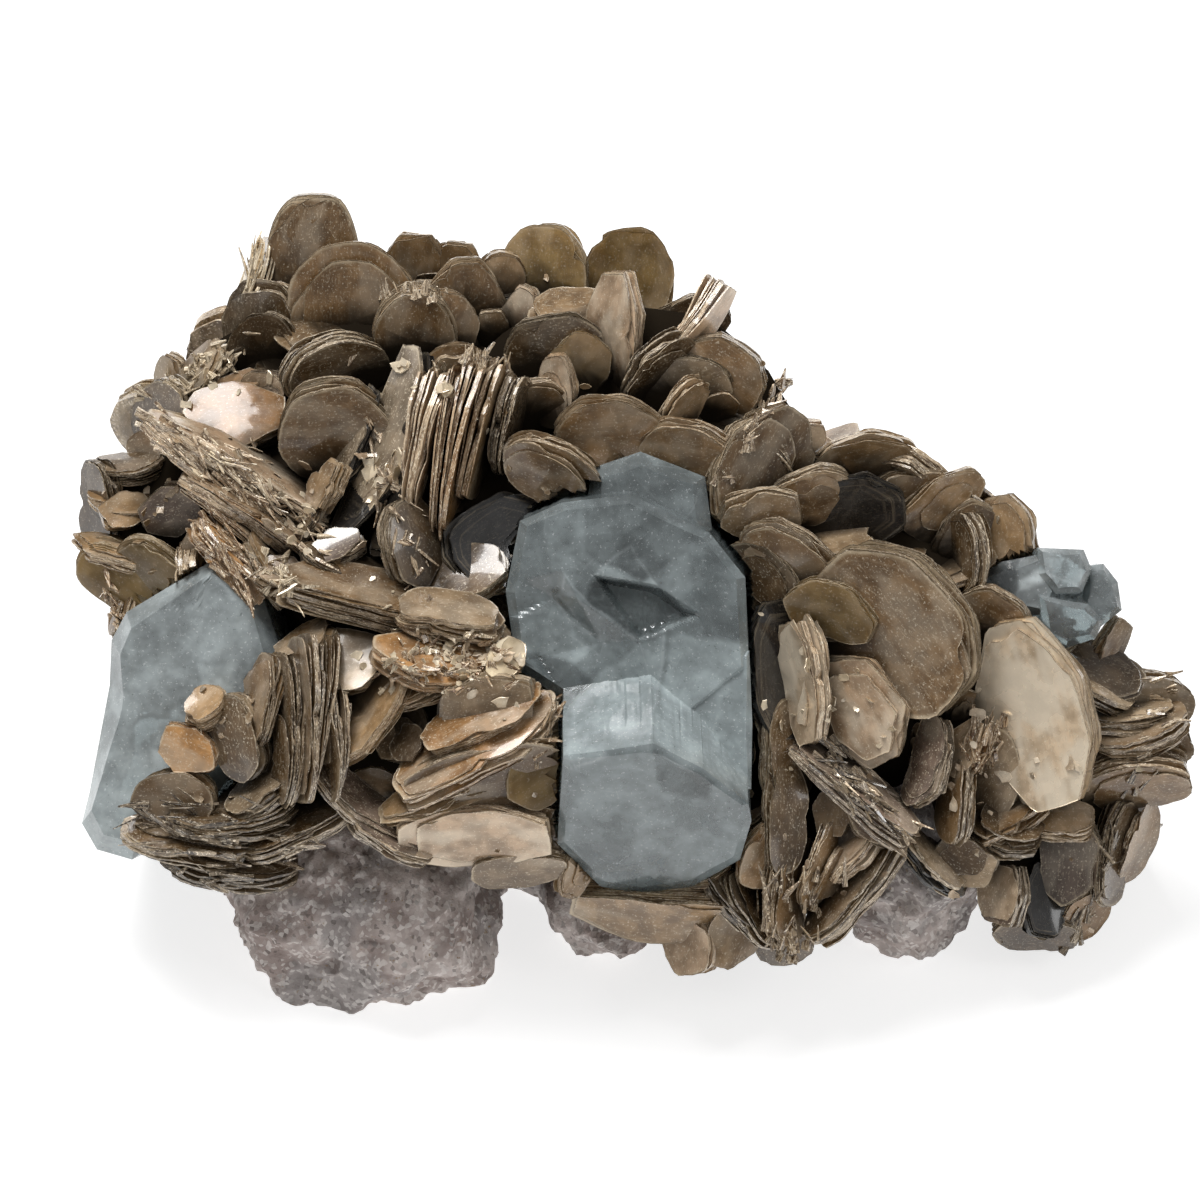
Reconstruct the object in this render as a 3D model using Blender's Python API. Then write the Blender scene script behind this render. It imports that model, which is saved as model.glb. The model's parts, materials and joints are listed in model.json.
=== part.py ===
"""Aquamarine on muscovite specimen.

A lump of pale feldspar rock with a trimmed flat foot carries rosettes of muscovite mica and three
groups of blue-grey aquamarine crystals.  Metres, +Z up, origin under the middle of the specimen.

Everything that grows on the rock is placed on its sloping "face": u runs to the right, v runs up the
slope and h stands out from it.  Face tables count in eighths of a millimetre.
"""

import math

import bmesh
import bpy
import numpy as np
from mathutils import Matrix, Vector

UNIT = 0.000125            # one table unit: an eighth of a millimetre
MM = 0.001
FACE_SLOPE = 50.0          # degrees between the face's normal and the horizon
GAP = 0.00035              # clearance between neighbouring minerals
FOOT_CLEAR = 0.0006        # lowest mica edge above the resting plane
MICA_SHARE = 0.66          # share of the mica's triangles kept once its slivers are folded away


def face_axes(azimuth, slope, middle, swelling):
    """A side of the mound: its right, up and outward axes, its middle and its swelling."""
    turn, rise = math.radians(azimuth), math.radians(slope)
    out = Vector((math.sin(turn) * math.cos(rise), -math.cos(turn) * math.cos(rise), math.sin(rise)))
    right = Vector((math.cos(turn), math.sin(turn), 0.0))
    return right, out.cross(right), out, Vector(middle) * MM, swelling


# swelling: crown, fall across, fall along and offset of the mound over the face plane, mm
FRONT = face_axes(0.0, FACE_SLOPE, (0, 0, 30), (20.0, 0.0030, 0.00876, 14.0))
BACK = face_axes(180.0, 15.0, (-16, 0, 24), (43.0, 0.0060, 0.0100, 4.0))
BACK_RIGHT = face_axes(150.0, 35.0, (22, -6, 16), (27.0, 0.0070, 0.0120, 2.0))
LEFT_SIDE = face_axes(272.0, 20.0, (-20, 6, 18), (36.0, 0.0080, 0.0100, 2.0))

# The grown-together middle of the mica under the front books: u, v, rise and half sizes
CORE = (0, -40, -172, 440, 245, 144)

# Each row: u, v, rise, length, width, thickness, along, lean_to, lean
#   u, v        middle of the book on the face, from the face's middle
#   rise        how far the book stands above (+) or sinks below (-) the mound's surface
#   along       direction of the long axis on the face, degrees from +u
#   lean_to     direction the basal plane's normal leans to; lean: how far it leans from the face normal
ROSETTES = {
    "back_left": dict(face=FRONT, heart=(-230, 205, -106, 186, 106, 52), books=(
        (-288, 325, -42, 170, 95, 22, 90, 250, 15),
        (-353, 315, -44, 115, 70, 14, 72, 162, 74),
        (-338, 266, -30, 120, 88, 22, 84, 222, 30),
        (-248, 286, -12, 152, 130, 26, 90, 262, 14),
        (-188, 320, -44, 112, 80, 18, 90, 270, 18),
        (-143, 318, -52, 96, 66, 16, 95, 265, 18),
        (-185, 265, 8, 98, 86, 28, 90, 285, 22),
        (-158, 268, -8, 92, 76, 16, 90, 300, 20),
        (-138, 290, -28, 112, 90, 20, 85, 300, 18),
        (-265, 228, 12, 108, 78, 30, 5, 300, 34),
        (-262, 168, 24, 116, 108, 30, 0, 265, 26),
        (-338, 205, 0, 66, 52, 18, 20, 200, 30),
        (-362, 180, 12, 104, 78, 26, 0, 88, 30),
        (-370, 205, 4, 84, 52, 16, 30, 110, 58),
        (-430, 226, -22, 46, 36, 20, 70, 200, 40),
        (-400, 222, -12, 84, 60, 26, 50, 140, 55),
        (-436, 182, -10, 88, 66, 20, 60, 210, 40),
        (-150, 215, -14, 92, 76, 20, 40, 290, 25),
    )),
    "far_left": dict(face=FRONT, heart=(-370, 80, -84, 125, 100, 50), books=(
        (-362, 122, 22, 215, 76, 46, -37, 53, 70),
        (-385, 150, 14, 130, 60, 24, -25, 65, 62),
        (-345, 80, 12, 175, 70, 34, -35, 53, 66),
        (-499, 96, -18, 98, 56, 22, 72, 200, 50),
        (-468, 134, -10, 80, 56, 18, 8, 98, 66),
        (-450, 152, -18, 50, 42, 20, 10, 180, 40),
        (-474, 88, -2, 56, 40, 16, 20, 60, 25),
        (-426, 90, 2, 66, 56, 18, 20, 250, 20),
        (-394, 55, 8, 56, 44, 16, 80, 230, 25),
        (-482, 48, 0, 96, 62, 16, -14, 76, 68),
        (-478, 22, -8, 98, 60, 28, -35, 240, 25),
        (-440, 30, -2, 90, 50, 24, -30, 230, 35),
        (-478, -15, -16, 54, 38, 14, 75, 165, 66),
        (-365, 42, 12, 104, 56, 30, -49, 41, 66),
        (-330, 30, 10, 84, 44, 22, -55, 35, 60),
    )),
    "centre_left": dict(face=FRONT, heart=None, books=(
        (-212, 155, 32, 208, 58, 16, 66, 156, 45),
        (-248, 150, 12, 126, 48, 18, 62, 152, 56),
        (-198, 105, 18, 142, 54, 18, 72, 162, 56),
        (-173, 153, 38, 158, 84, 24, 79, 349, 78),
        (-143, 150, 40, 182, 92, 26, 80, 350, 78),
        (-118, 170, 34, 150, 84, 22, 76, 346, 76),
        (-90, 175, 24, 108, 74, 18, 78, 348, 74),
        (-185, 55, 12, 94, 70, 24, 100, 10, 35),
        (-100, 55, -14, 122, 100, 24, 30, 60, 25),
        (-130, 25, 0, 88, 62, 18, 10, 120, 35),
        (-47, 128, 24, 106, 66, 26, -30, 250, 34),
        (-230, 0, 16, 178, 66, 30, -14, 76, 52),
        (-150, -18, 20, 112, 58, 34, -12, 78, 48),
        (-250, 28, 8, 110, 50, 20, -25, 65, 56),
        (-275, 12, 10, 94, 48, 22, -20, 70, 54),
        (-313, 22, 16, 60, 44, 20, -20, 80, 40),
        (-270, 112, 22, 58, 40, 20, 70, 150, 50),
        (-260, 50, 14, 58, 42, 18, 30, 110, 40),
        (-300, 70, 2, 84, 50, 18, 50, 140, 50),
    )),
    "front_left": dict(face=FRONT, heart=(-320, -150, -85, 100, 85, 50), books=(
        (-388, -106, 30, 50, 42, 24, 60, 120, 40),
        (-406, -147, 32, 64, 52, 20, -25, 200, 20),
        (-356, -135, 26, 90, 58, 24, 105, 195, 35),
        (-334, -100, 28, 100, 64, 16, 80, 170, 62),
        (-310, -128, 28, 156, 74, 22, 88, 178, 64),
        (-288, -118, 32, 170, 84, 22, 86, 176, 66),
        (-267, -138, 28, 130, 74, 22, 92, 182, 66),
        (-288, -42, 20, 78, 56, 18, 30, 120, 60),
        (-248, -62, 20, 80, 68, 20, 30, 100, 25),
        (-225, -112, 22, 116, 64, 20, 55, 145, 48),
        (-420, -197, 32, 86, 62, 26, 10, 230, 20),
        (-408, -235, 28, 136, 78, 24, -8, 82, 54),
        (-365, -210, 26, 134, 74, 20, 5, 95, 56),
        (-380, -222, 20, 120, 70, 18, -2, 88, 58),
        (-365, -262, 14, 136, 64, 22, -6, 84, 56),
        (-330, -185, 24, 96, 64, 18, 40, 130, 55),
        (-300, -225, 10, 120, 60, 22, 25, 115, 55),
    )),
    "front_centre": dict(face=FRONT, heart=None, books=(
        (-150, -58, 22, 148, 62, 26, 5, 80, 42),
        (-95, -60, 28, 58, 38, 16, 60, 60, 30),
        (-200, -52, 22, 58, 44, 20, 40, 120, 40),
        (-175, -84, 14, 90, 56, 18, 25, 115, 50),
        (-196, -130, 12, 68, 60, 18, 90, 150, 30),
        (-113, -105, 26, 106, 70, 24, 20, 250, 22),
        (-125, -140, 30, 178, 84, 36, 28, 118, 46),
        (-105, -172, 26, 176, 78, 28, 12, 280, 30),
        (-55, -170, 26, 86, 68, 18, 30, 300, 18),
        (-150, -190, 16, 150, 60, 22, 20, 110, 50),
        (-125, -232, 22, 152, 72, 26, 4, 265, 36),
        (-205, -228, 16, 106, 58, 22, -30, 60, 48),
        (-235, -200, 14, 116, 54, 18, -40, 50, 55),
        (-80, -262, 12, 96, 42, 20, 8, 270, 40),
        (-22, -266, 8, 62, 42, 18, 60, 330, 40),
        (-46, -122, 2, 62, 50, 16, 60, 45, 46),
        (-60, -225, 8, 90, 60, 20, 15, 260, 30),
    )),
    "foot": dict(face=FRONT, heart=(170, -235, -80, 135, 80, 52), books=(
        (72, -306, -6, 192, 56, 30, -3, 266, 42),
        (90, -338, 4, 76, 56, 26, 100, 190, 30),
        (130, -330, 8, 72, 60, 22, 70, 300, 25),
        (181, -215, 8, 118, 48, 20, 88, 0, 30),
        (160, -252, 12, 72, 46, 18, 60, 330, 25),
        (185, -285, 12, 120, 66, 20, 84, 354, 56),
        (222, -262, 12, 96, 56, 20, 68, 338, 56),
        (150, -305, 10, 96, 56, 20, 120, 30, 56),
        (128, -290, 2, 100, 50, 18, 130, 40, 56),
        (242, -215, 8, 78, 64, 20, 80, 200, 20),
        (270, -212, 12, 72, 60, 20, -45, 30, 25),
        (250, -250, 14, 74, 44, 22, 45, 135, 50),
        (250, -288, 10, 134, 56, 24, 50, 140, 55),
        (182, -340, 4, 60, 42, 24, 10, 270, 30),
        (185, -150, -10, 110, 60, 20, 85, 0, 35),
    )),
    "right": dict(face=FRONT, heart=(330, -60, -92, 130, 100, 52), books=(
        (430, -110, 16, 192, 112, 36, 100, 195, 22),
        (292, -30, 22, 184, 150, 38, -50, 215, 22),
        (258, -108, 14, 116, 86, 24, -60, 200, 25),
        (228, -10, 22, 96, 62, 22, -20, 250, 25),
        (185, 42, 10, 106, 68, 24, -30, 240, 30),
        (165, 20, -8, 100, 70, 20, -50, 220, 35),
        (203, -80, 13, 128, 58, 24, 96, 186, 57),
        (180, -70, -14, 140, 80, 24, 90, 10, 30),
        (485, -68, -10, 114, 66, 20, -15, 60, 35),
        (488, -82, -2, 96, 58, 16, -33, 57, 56),
        (505, -50, -12, 76, 34, 16, 60, 330, 35),
        (325, -160, 14, 96, 48, 20, 75, 165, 45),
        (353, -200, 14, 90, 48, 20, 85, 175, 56),
        (365, -148, 12, 70, 44, 18, 60, 150, 35),
        (249, -187, 11, 156, 64, 24, -40, 50, 61),
        (390, -20, -6, 90, 70, 22, -30, 240, 30),
        (405, -215, 6, 90, 60, 22, 30, 120, 45),
        (378, -180, -16, 120, 84, 24, 60, 200, 20),
    )),
    "front_right": dict(face=FRONT, heart=(440, -215, -72, 110, 85, 48), books=(
        (547, -100, -6, 90, 58, 22, -15, 300, 30),
        (535, -132, 2, 106, 66, 24, 12, 102, 58),
        (520, -115, -6, 100, 60, 18, 2, 92, 60),
        (558, -146, 2, 68, 50, 18, 5, 290, 25),
        (533, -178, 0, 114, 66, 32, 10, 275, 50),
        (512, -252, 0, 110, 52, 20, 80, 350, 55),
        (532, -242, -8, 86, 48, 18, 75, 345, 55),
        (458, -220, 10, 70, 48, 20, 5, 90, 38),
        (468, -258, 2, 92, 64, 20, 80, 200, 20),
        (402, -228, 12, 78, 54, 28, -20, 70, 46),
        (403, -293, 8, 68, 54, 24, 80, 170, 38),
        (440, -300, 0, 80, 52, 20, 85, 10, 30),
        (478, -312, 0, 62, 50, 24, 40, 320, 35),
        (435, -330, -2, 88, 42, 20, 0, 270, 42),
        (362, -258, 10, 68, 54, 20, -30, 250, 20),
        (330, -262, 6, 92, 56, 20, -48, 42, 60),
    )),
    "back_right": dict(face=FRONT, heart=(270, 60, -84, 150, 80, 42), books=(
        (257, 124, -20, 134, 84, 24, 22, 280, 25),
        (245, 88, -10, 116, 82, 22, 5, 275, 20),
        (300, 98, -18, 100, 66, 20, 30, 300, 25),
        (337, 95, -8, 98, 54, 22, 40, 310, 25),
        (362, 62, -20, 90, 60, 20, 60, 300, 25),
        (365, 42, -4, 92, 54, 18, 92, 182, 60),
        (403, 60, -8, 98, 66, 24, 100, 200, 25),
        (158, 130, 6, 134, 96, 30, 60, 330, 25),
        (190, 160, -10, 70, 44, 18, 10, 300, 30),
        (160, 85, 14, 90, 58, 22, 10, 270, 30),
        (210, 100, -2, 90, 66, 20, 20, 290, 30),
    )),
    "back_centre": dict(face=FRONT, heart=(20, 190, -88, 170, 110, 50), books=(
        (-55, 325, -25, 108, 90, 24, 90, 215, 15),
        (29, 323, -40, 108, 90, 14, 90, 270, 8),
        (-78, 288, -22, 62, 38, 18, 75, 190, 30),
        (-98, 310, -36, 90, 60, 18, 90, 270, 18),
        (-44, 242, -4, 104, 98, 22, 0, 270, 18),
        (-22, 234, 2, 76, 64, 16, 60, 275, 17),
        (-44, 208, 14, 80, 44, 16, 85, 200, 25),
        (17, 262, 8, 132, 56, 24, 83, 195, 32),
        (55, 228, -4, 96, 56, 20, 50, 320, 46),
        (85, 260, 6, 142, 44, 20, 53, 323, 62),
        (122, 225, -14, 92, 80, 24, -40, 240, 20),
        (82, 192, 4, 72, 44, 18, 50, 320, 46),
        (10, 162, 6, 114, 88, 24, 0, 270, 20),
        (88, 148, 10, 102, 66, 24, -10, 250, 30),
        (85, 205, -30, 104, 84, 22, 20, 270, 20),
        (-70, 185, -6, 90, 70, 20, 40, 280, 30),
    )),
    "rear": dict(face=BACK, heart=(0, -60, -70, 260, 130, 50), books=(
        (150, 10, -6, 140, 110, 28, 80, 290, 25),
        (240, -10, 0, 130, 96, 26, 70, 250, 30),
        (60, 0, 0, 130, 110, 26, 60, 270, 25),
        (-40, -10, 4, 130, 100, 26, 100, 230, 30),
        (-120, -40, 0, 120, 90, 24, 80, 280, 30),
        (200, -80, 8, 150, 80, 24, 20, 80, 45),
        (90, -90, 12, 140, 80, 24, 160, 60, 50),
        (-20, -100, 8, 130, 76, 24, 30, 110, 50),
        (280, -100, 0, 120, 80, 24, 60, 330, 40),
        (-110, -130, 0, 120, 70, 22, 140, 50, 45),
        (330, -50, -6, 120, 80, 22, 100, 200, 35),
        (150, -150, 4, 130, 60, 22, 0, 90, 55),
        (-200, 10, -22, 140, 96, 26, 70, 280, 25),
        (-300, -10, -104, 140, 96, 34, 100, 240, 34),
        (-390, -30, -60, 116, 80, 24, 60, 300, 30),
        (-100, 20, -16, 130, 96, 26, 70, 270, 28),
        (-240, -70, -6, 130, 80, 24, 20, 100, 50),
        (-345, -90, -14, 120, 72, 22, 150, 60, 48),
        (-205, 66, -36, 120, 84, 22, 80, 272, 28),
        (-125, 62, -46, 116, 80, 22, 100, 255, 30),
        (-45, 70, -34, 116, 80, 22, 75, 280, 28),
        (40, 72, -22, 120, 84, 22, 95, 262, 30),
        (125, 74, -10, 120, 84, 22, 80, 280, 28),
        (205, 66, 0, 116, 80, 22, 100, 258, 30),
    )),
    "rear_right": dict(face=BACK_RIGHT, heart=(0, -30, -60, 180, 90, 45), books=(
        (0, 30, 16, 130, 96, 26, 60, 270, 25),
        (-90, 6, 8, 120, 84, 24, 100, 240, 26),
        (90, 10, -3, 120, 84, 24, 80, 290, 30),
        (-160, -20, 36, 110, 70, 22, 70, 160, 45),
        (-50, -60, 16, 130, 72, 24, 30, 110, 50),
        (60, -70, 8, 130, 72, 24, 150, 70, 50),
        (-130, -80, 0, 110, 60, 22, 110, 200, 45),
        (-62, 70, 58, 116, 84, 24, 80, 280, 24),
        (30, 100, 8, 120, 84, 24, 100, 260, 30),
        (-138, 44, 60, 104, 74, 22, 60, 250, 26),
        (108, 84, 34, 116, 84, 24, 70, 290, 26),
        (-200, 18, 34, 100, 72, 22, 80, 220, 34),
        (60, 146, 40, 108, 76, 22, 85, 270, 28),
    )),
    "left_end": dict(face=LEFT_SIDE, heart=(0, 0, -60, 150, 90, 45), books=(
        (-60, 60, 0, 120, 84, 24, 80, 270, 30),
        (60, 50, 0, 120, 90, 24, 60, 290, 30),
        (-20, -10, 8, 130, 76, 24, 30, 110, 50),
        (90, -30, 0, 120, 70, 22, 120, 40, 45),
        (-110, -20, -6, 110, 70, 22, 60, 200, 40),
    )),
}


def to_world(face, u, v, h):
    """Face coordinates (table units) to a point in metres."""
    right, up, out, middle, _ = face
    return middle + (right * u + up * v + out * h) * UNIT


def swell(face, u, v):
    """Height of the mound's surface over the face plane, in table units."""
    a, b = u * UNIT / MM, v * UNIT / MM
    crown, across, along, offset = face[4]
    return (crown - across * a * a - along * (b + offset) ** 2) * MM / UNIT


def direction(face, du, dv, dh):
    right, up, out, _, _ = face
    return (right * du + up * dv + out * dh).normalized()


def plate_frame(face, row):
    """World matrix whose Z is the book's basal normal and whose X is its long axis."""
    u, v, rise, _, _, _, along, lean_to, lean = row
    along, lean_to, lean = math.radians(along), math.radians(lean_to), math.radians(lean)
    normal = direction(face, math.sin(lean) * math.cos(lean_to), math.sin(lean) * math.sin(lean_to),
                       math.cos(lean))
    wish = direction(face, math.cos(along), math.sin(along), 0.0)
    x_axis = (wish - normal * wish.dot(normal)).normalized()
    y_axis = normal.cross(x_axis)
    place = to_world(face, u, v, swell(face, u, v) + rise)
    turn = Matrix((x_axis, y_axis, normal)).transposed().to_4x4()
    return Matrix.Translation(place) @ turn


def book_outline(length, width, seed):
    """Corners of one mica book: a rounded, slightly irregular pseudo-hexagon."""
    chance = np.random.RandomState(seed)
    count = 6 if length < 85 else 7 if length < 125 else 8
    power = 2.2 if length < 1.7 * width else 2.8
    corners = []
    for k in range(count):
        turn = 2 * math.pi * (k + 0.5 + chance.uniform(-0.22, 0.22)) / count
        x, y = math.cos(turn), math.sin(turn)
        reach = (abs(x) ** power + abs(y) ** power) ** (-1.0 / power)
        reach *= chance.uniform(1.0, 1.12)
        corners.append((0.5 * length * UNIT * reach * x, 0.5 * width * UNIT * reach * y))
    return corners


def finish(name, bm):
    bmesh.ops.recalc_face_normals(bm, faces=bm.faces[:])
    mesh = bpy.data.meshes.new(name)
    bm.to_mesh(mesh)
    bm.free()
    obj = bpy.data.objects.new(name, mesh)
    bpy.context.scene.collection.objects.link(obj)
    return obj


def mica_book(name, face, row, seed):
    """One book of mica: an extruded outline, with a stepped cleavage ledge when it is thick."""
    _, _, _, length, width, thick, _, _, lean = row
    bm = bmesh.new()
    ring = [bm.verts.new((x, y, -0.5 * thick * UNIT)) for x, y in book_outline(length, width, seed)]
    base = bm.faces.new(ring)
    stepped = lean < 35 and width >= 84
    first = thick * (0.55 if stepped else 1.0)
    grown = bmesh.ops.extrude_face_region(bm, geom=[base])
    top = [f for f in grown["geom"] if isinstance(f, bmesh.types.BMFace)]
    verts = [v for v in grown["geom"] if isinstance(v, bmesh.types.BMVert)]
    bmesh.ops.translate(bm, verts=verts, vec=(0, 0, first * UNIT))
    if stepped:
        bmesh.ops.inset_individual(bm, faces=top, thickness=0.055 * width * UNIT, depth=0.0)
        grown = bmesh.ops.extrude_discrete_faces(bm, faces=top)
        verts = {v for f in grown["faces"] for v in f.verts}
        bmesh.ops.translate(bm, verts=list(verts), vec=(0, 0, (thick - first) * UNIT))
    bm.transform(plate_frame(face, row))
    return finish(name, bm)


def heart_lump(name, face, spec, level=1):
    """The inner part of a rosette, where its books run together."""
    u, v, rise, ru, rv, rh = spec
    bm = bmesh.new()
    bmesh.ops.create_icosphere(bm, subdivisions=level, radius=1.12 if level == 1 else 1.03)
    right, up, out, _, _ = face
    turn = Matrix((right * ru * UNIT, up * rv * UNIT, out * rh * UNIT)).transposed().to_4x4()
    place = to_world(face, u, v, swell(face, u, v) + rise)
    bm.transform(Matrix.Translation(place) @ turn)
    return finish(name, bm)


def measured(mesh):
    """Whether a mesh is closed, and its volume."""
    bm = bmesh.new()
    bm.from_mesh(mesh)
    closed = len(bm.faces) > 3 and all(len(e.link_faces) == 2 for e in bm.edges)
    volume = bm.calc_volume()
    bm.free()
    return closed, volume


def cut(target, tool, operation="DIFFERENCE"):
    """Boolean one tool into the target: the exact solver, or the manifold one where that leaves a tear."""
    tool.hide_render = True
    tool.display_type = "WIRE"
    _, before = measured(target.data)
    _, other = measured(tool.data)
    for solver in ("EXACT", "MANIFOLD"):
        step = target.modifiers.new("cut", "BOOLEAN")
        step.operation = operation
        step.solver = solver
        step.object = tool
        bpy.context.view_layer.update()
        shaped = target.evaluated_get(bpy.context.evaluated_depsgraph_get())
        mesh = bpy.data.meshes.new_from_object(shaped)
        target.modifiers.clear()
        closed, after = measured(mesh)
        if operation == "UNION":
            sound = 0.995 * max(before, other) < after < 1.005 * (before + other)
        else:
            sound = 0.995 * (before - other) < after < 1.005 * before
        if closed and sound:
            break
        REPAIRS.append((target.name, tool.name, solver, closed, sound))
    old = target.data
    target.data = mesh
    bpy.data.meshes.remove(old)
    bpy.data.objects.remove(tool)


def islands(bm):
    """Connected shells of a bmesh, as lists of vertices."""
    left = set(bm.verts)
    shells = []
    while left:
        start = left.pop()
        shell, edge = [start], [start]
        while edge:
            vert = edge.pop()
            for link in vert.link_edges:
                other = link.other_vert(vert)
                if other in left:
                    left.remove(other)
                    shell.append(other)
                    edge.append(other)
        shells.append(shell)
    return shells


def tidy(obj, angle=1.0):
    """Keep the largest shell, flatten coplanar faces and triangulate, leaving a closed skin."""
    tries = [(angle * share, style) for share in (1.0, 0.6, 0.3, 0.1) for style in ("BEAUTY", "EAR_CLIP")]
    for flat, style in tries + [(0.0, "EAR_CLIP")]:
        bm = bmesh.new()
        bm.from_mesh(obj.data)
        shells = islands(bm)
        largest = max(shells, key=spread)
        for shell in shells:
            if shell is not largest:
                bmesh.ops.delete(bm, geom=shell, context="VERTS")
        bmesh.ops.remove_doubles(bm, verts=bm.verts[:], dist=0.000001)
        bmesh.ops.dissolve_degenerate(bm, dist=0.000002, edges=bm.edges[:])
        if flat:
            bmesh.ops.dissolve_limit(bm, angle_limit=math.radians(flat), verts=bm.verts[:],
                                     edges=bm.edges[:])
        bmesh.ops.triangulate(bm, faces=bm.faces[:], ngon_method=style)
        bmesh.ops.recalc_face_normals(bm, faces=bm.faces[:])
        closed = all(len(e.link_faces) == 2 for e in bm.edges)
        if closed or not flat:
            bm.to_mesh(obj.data)
            bm.free()
            return
        bm.free()


def simplify(obj, share):
    """Fold the shortest facets away, keeping about this share of the triangles and a closed skin."""
    for step in range(12):
        fold = obj.modifiers.new("fold", "DECIMATE")
        fold.decimate_type = "COLLAPSE"
        fold.ratio = share + 0.01 * step
        fold.use_collapse_triangulate = True
        bpy.context.view_layer.update()
        shaped = obj.evaluated_get(bpy.context.evaluated_depsgraph_get())
        mesh = bpy.data.meshes.new_from_object(shaped)
        obj.modifiers.clear()
        closed, _ = measured(mesh)
        if closed:
            old = obj.data
            obj.data = mesh
            bpy.data.meshes.remove(old)
            return
        bpy.data.meshes.remove(mesh)


def spread(shell):
    """Bounding-box diagonal of a shell."""
    points = np.array([v.co[:] for v in shell])
    return float(np.linalg.norm(points.max(axis=0) - points.min(axis=0)))


REPAIRS = []


# ---------------------------------------------------------------- matrix rock

# Rock lumps: centre x, y, z and half sizes in mm, subdivision, seed
LUMPS = (
    (-10.0, 4.0, 4.0, 42.0, 32.0, 24.0, 3, 3),
    (-29.5, -20.0, 5.0, 18.0, 21.0, 18.5, 3, 8),
    (0.0, -19.0, 3.0, 8.0, 15.5, 8.5, 2, 5),
    (38.5, -20.5, 8.0, 10.0, 13.5, 12.0, 3, 11),
    (24.0, 2.0, 3.0, 26.0, 20.0, 20.0, 2, 19),
)


def rock_reach(way, seed):
    """Distance to a broken rock face along a unit direction: the nearest of random fracture planes."""
    chance = np.random.RandomState(seed)
    planes = chance.normal(size=(34, 3))
    planes /= np.linalg.norm(planes, axis=1)[:, None]
    depth = chance.uniform(0.86, 1.0, size=34)
    facing = planes @ way
    reach = np.where(facing > 0.2, depth / np.maximum(facing, 0.2), 9.0)
    blocky = float((np.abs(way) ** 2.7).sum() ** (-1.0 / 2.7))
    return min(float(reach.min()), 1.12) * blocky


def rock_lump(name, spec, grow=0.0):
    x, y, z, rx, ry, rz, level, seed = spec
    bm = bmesh.new()
    bmesh.ops.create_icosphere(bm, subdivisions=level, radius=1.0)
    for vert in bm.verts:
        way = np.array(vert.co[:])
        reach = rock_reach(way, seed)
        ripple = 1.0 + 0.025 * math.sin(7.1 * way[0] + 5.3 * way[1] + seed) * math.sin(6.3 * way[2] + 2.0)
        point = way * reach * ripple * np.array((rx, ry, rz)) * MM
        point += way * grow
        vert.co = Vector(point) + Vector((x, y, z)) * MM
    return finish(name, bm)


def flat_foot(obj):
    """Saw the rock flat at z = 0."""
    bm = bmesh.new()
    bm.from_mesh(obj.data)
    geom = bm.verts[:] + bm.edges[:] + bm.faces[:]
    sawn = bmesh.ops.bisect_plane(bm, geom=geom, dist=1e-6, plane_co=(0, 0, 0), plane_no=(0, 0, 1),
                                  clear_inner=True)
    rim = [e for e in sawn["geom_cut"] if isinstance(e, bmesh.types.BMEdge)]
    bmesh.ops.contextual_create(bm, geom=rim)
    bmesh.ops.recalc_face_normals(bm, faces=bm.faces[:])
    bm.to_mesh(obj.data)
    bm.free()


# ---------------------------------------------------------------- aquamarine

def hull(name, points, grow=0.0):
    """Closed crystal from its corners (face units), optionally grown outwards by a clearance."""
    bm = bmesh.new()
    for u, v, h in points:
        bm.verts.new(to_world(FRONT, u, v, h))
    bmesh.ops.convex_hull(bm, input=bm.verts[:])
    loose = [v for v in bm.verts if not v.link_faces]
    bmesh.ops.delete(bm, geom=loose, context="VERTS")
    bmesh.ops.dissolve_limit(bm, angle_limit=math.radians(0.5), verts=bm.verts[:], edges=bm.edges[:])
    bmesh.ops.recalc_face_normals(bm, faces=bm.faces[:])
    if grow:
        bm.normal_update()
        moves = [(v, v.normal * v.calc_shell_factor() * grow) for v in bm.verts]
        for vert, move in moves:
            vert.co += move
    return finish(name, bm)


def prism(outline, axis, length, slope, base, bevel=0.0, drop=0.0, taper=1.0):
    """Corners of a crystal prism.

    outline: (u, v) corners of its end face; slope: the end face's height as base + su*u + sv*v;
    axis: (du, dv, dh) pointing back into the matrix; bevel/drop: inset and height of a bevelled rim.
    """
    mid_u = sum(p[0] for p in outline) / len(outline)
    mid_v = sum(p[1] for p in outline) / len(outline)
    norm = math.sqrt(sum(a * a for a in axis))
    step = [a / norm * length for a in axis]
    corners = []
    for u, v in outline:
        h = base + slope[0] * (u - mid_u) + slope[1] * (v - mid_v)
        shrink = 1.0 - bevel / max(math.hypot(u - mid_u, v - mid_v), 1.0)
        iu, iv = mid_u + (u - mid_u) * shrink, mid_v + (v - mid_v) * shrink
        ih = base + slope[0] * (iu - mid_u) + slope[1] * (iv - mid_v)
        if bevel:
            corners.append((iu, iv, ih))
            corners.append((u, v, h - drop))
        else:
            corners.append((u, v, h))
        fu, fv = mid_u + (u - mid_u) * taper, mid_v + (v - mid_v) * taper
        corners.append((fu + step[0], fv + step[1], h + step[2]))
    return corners


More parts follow.
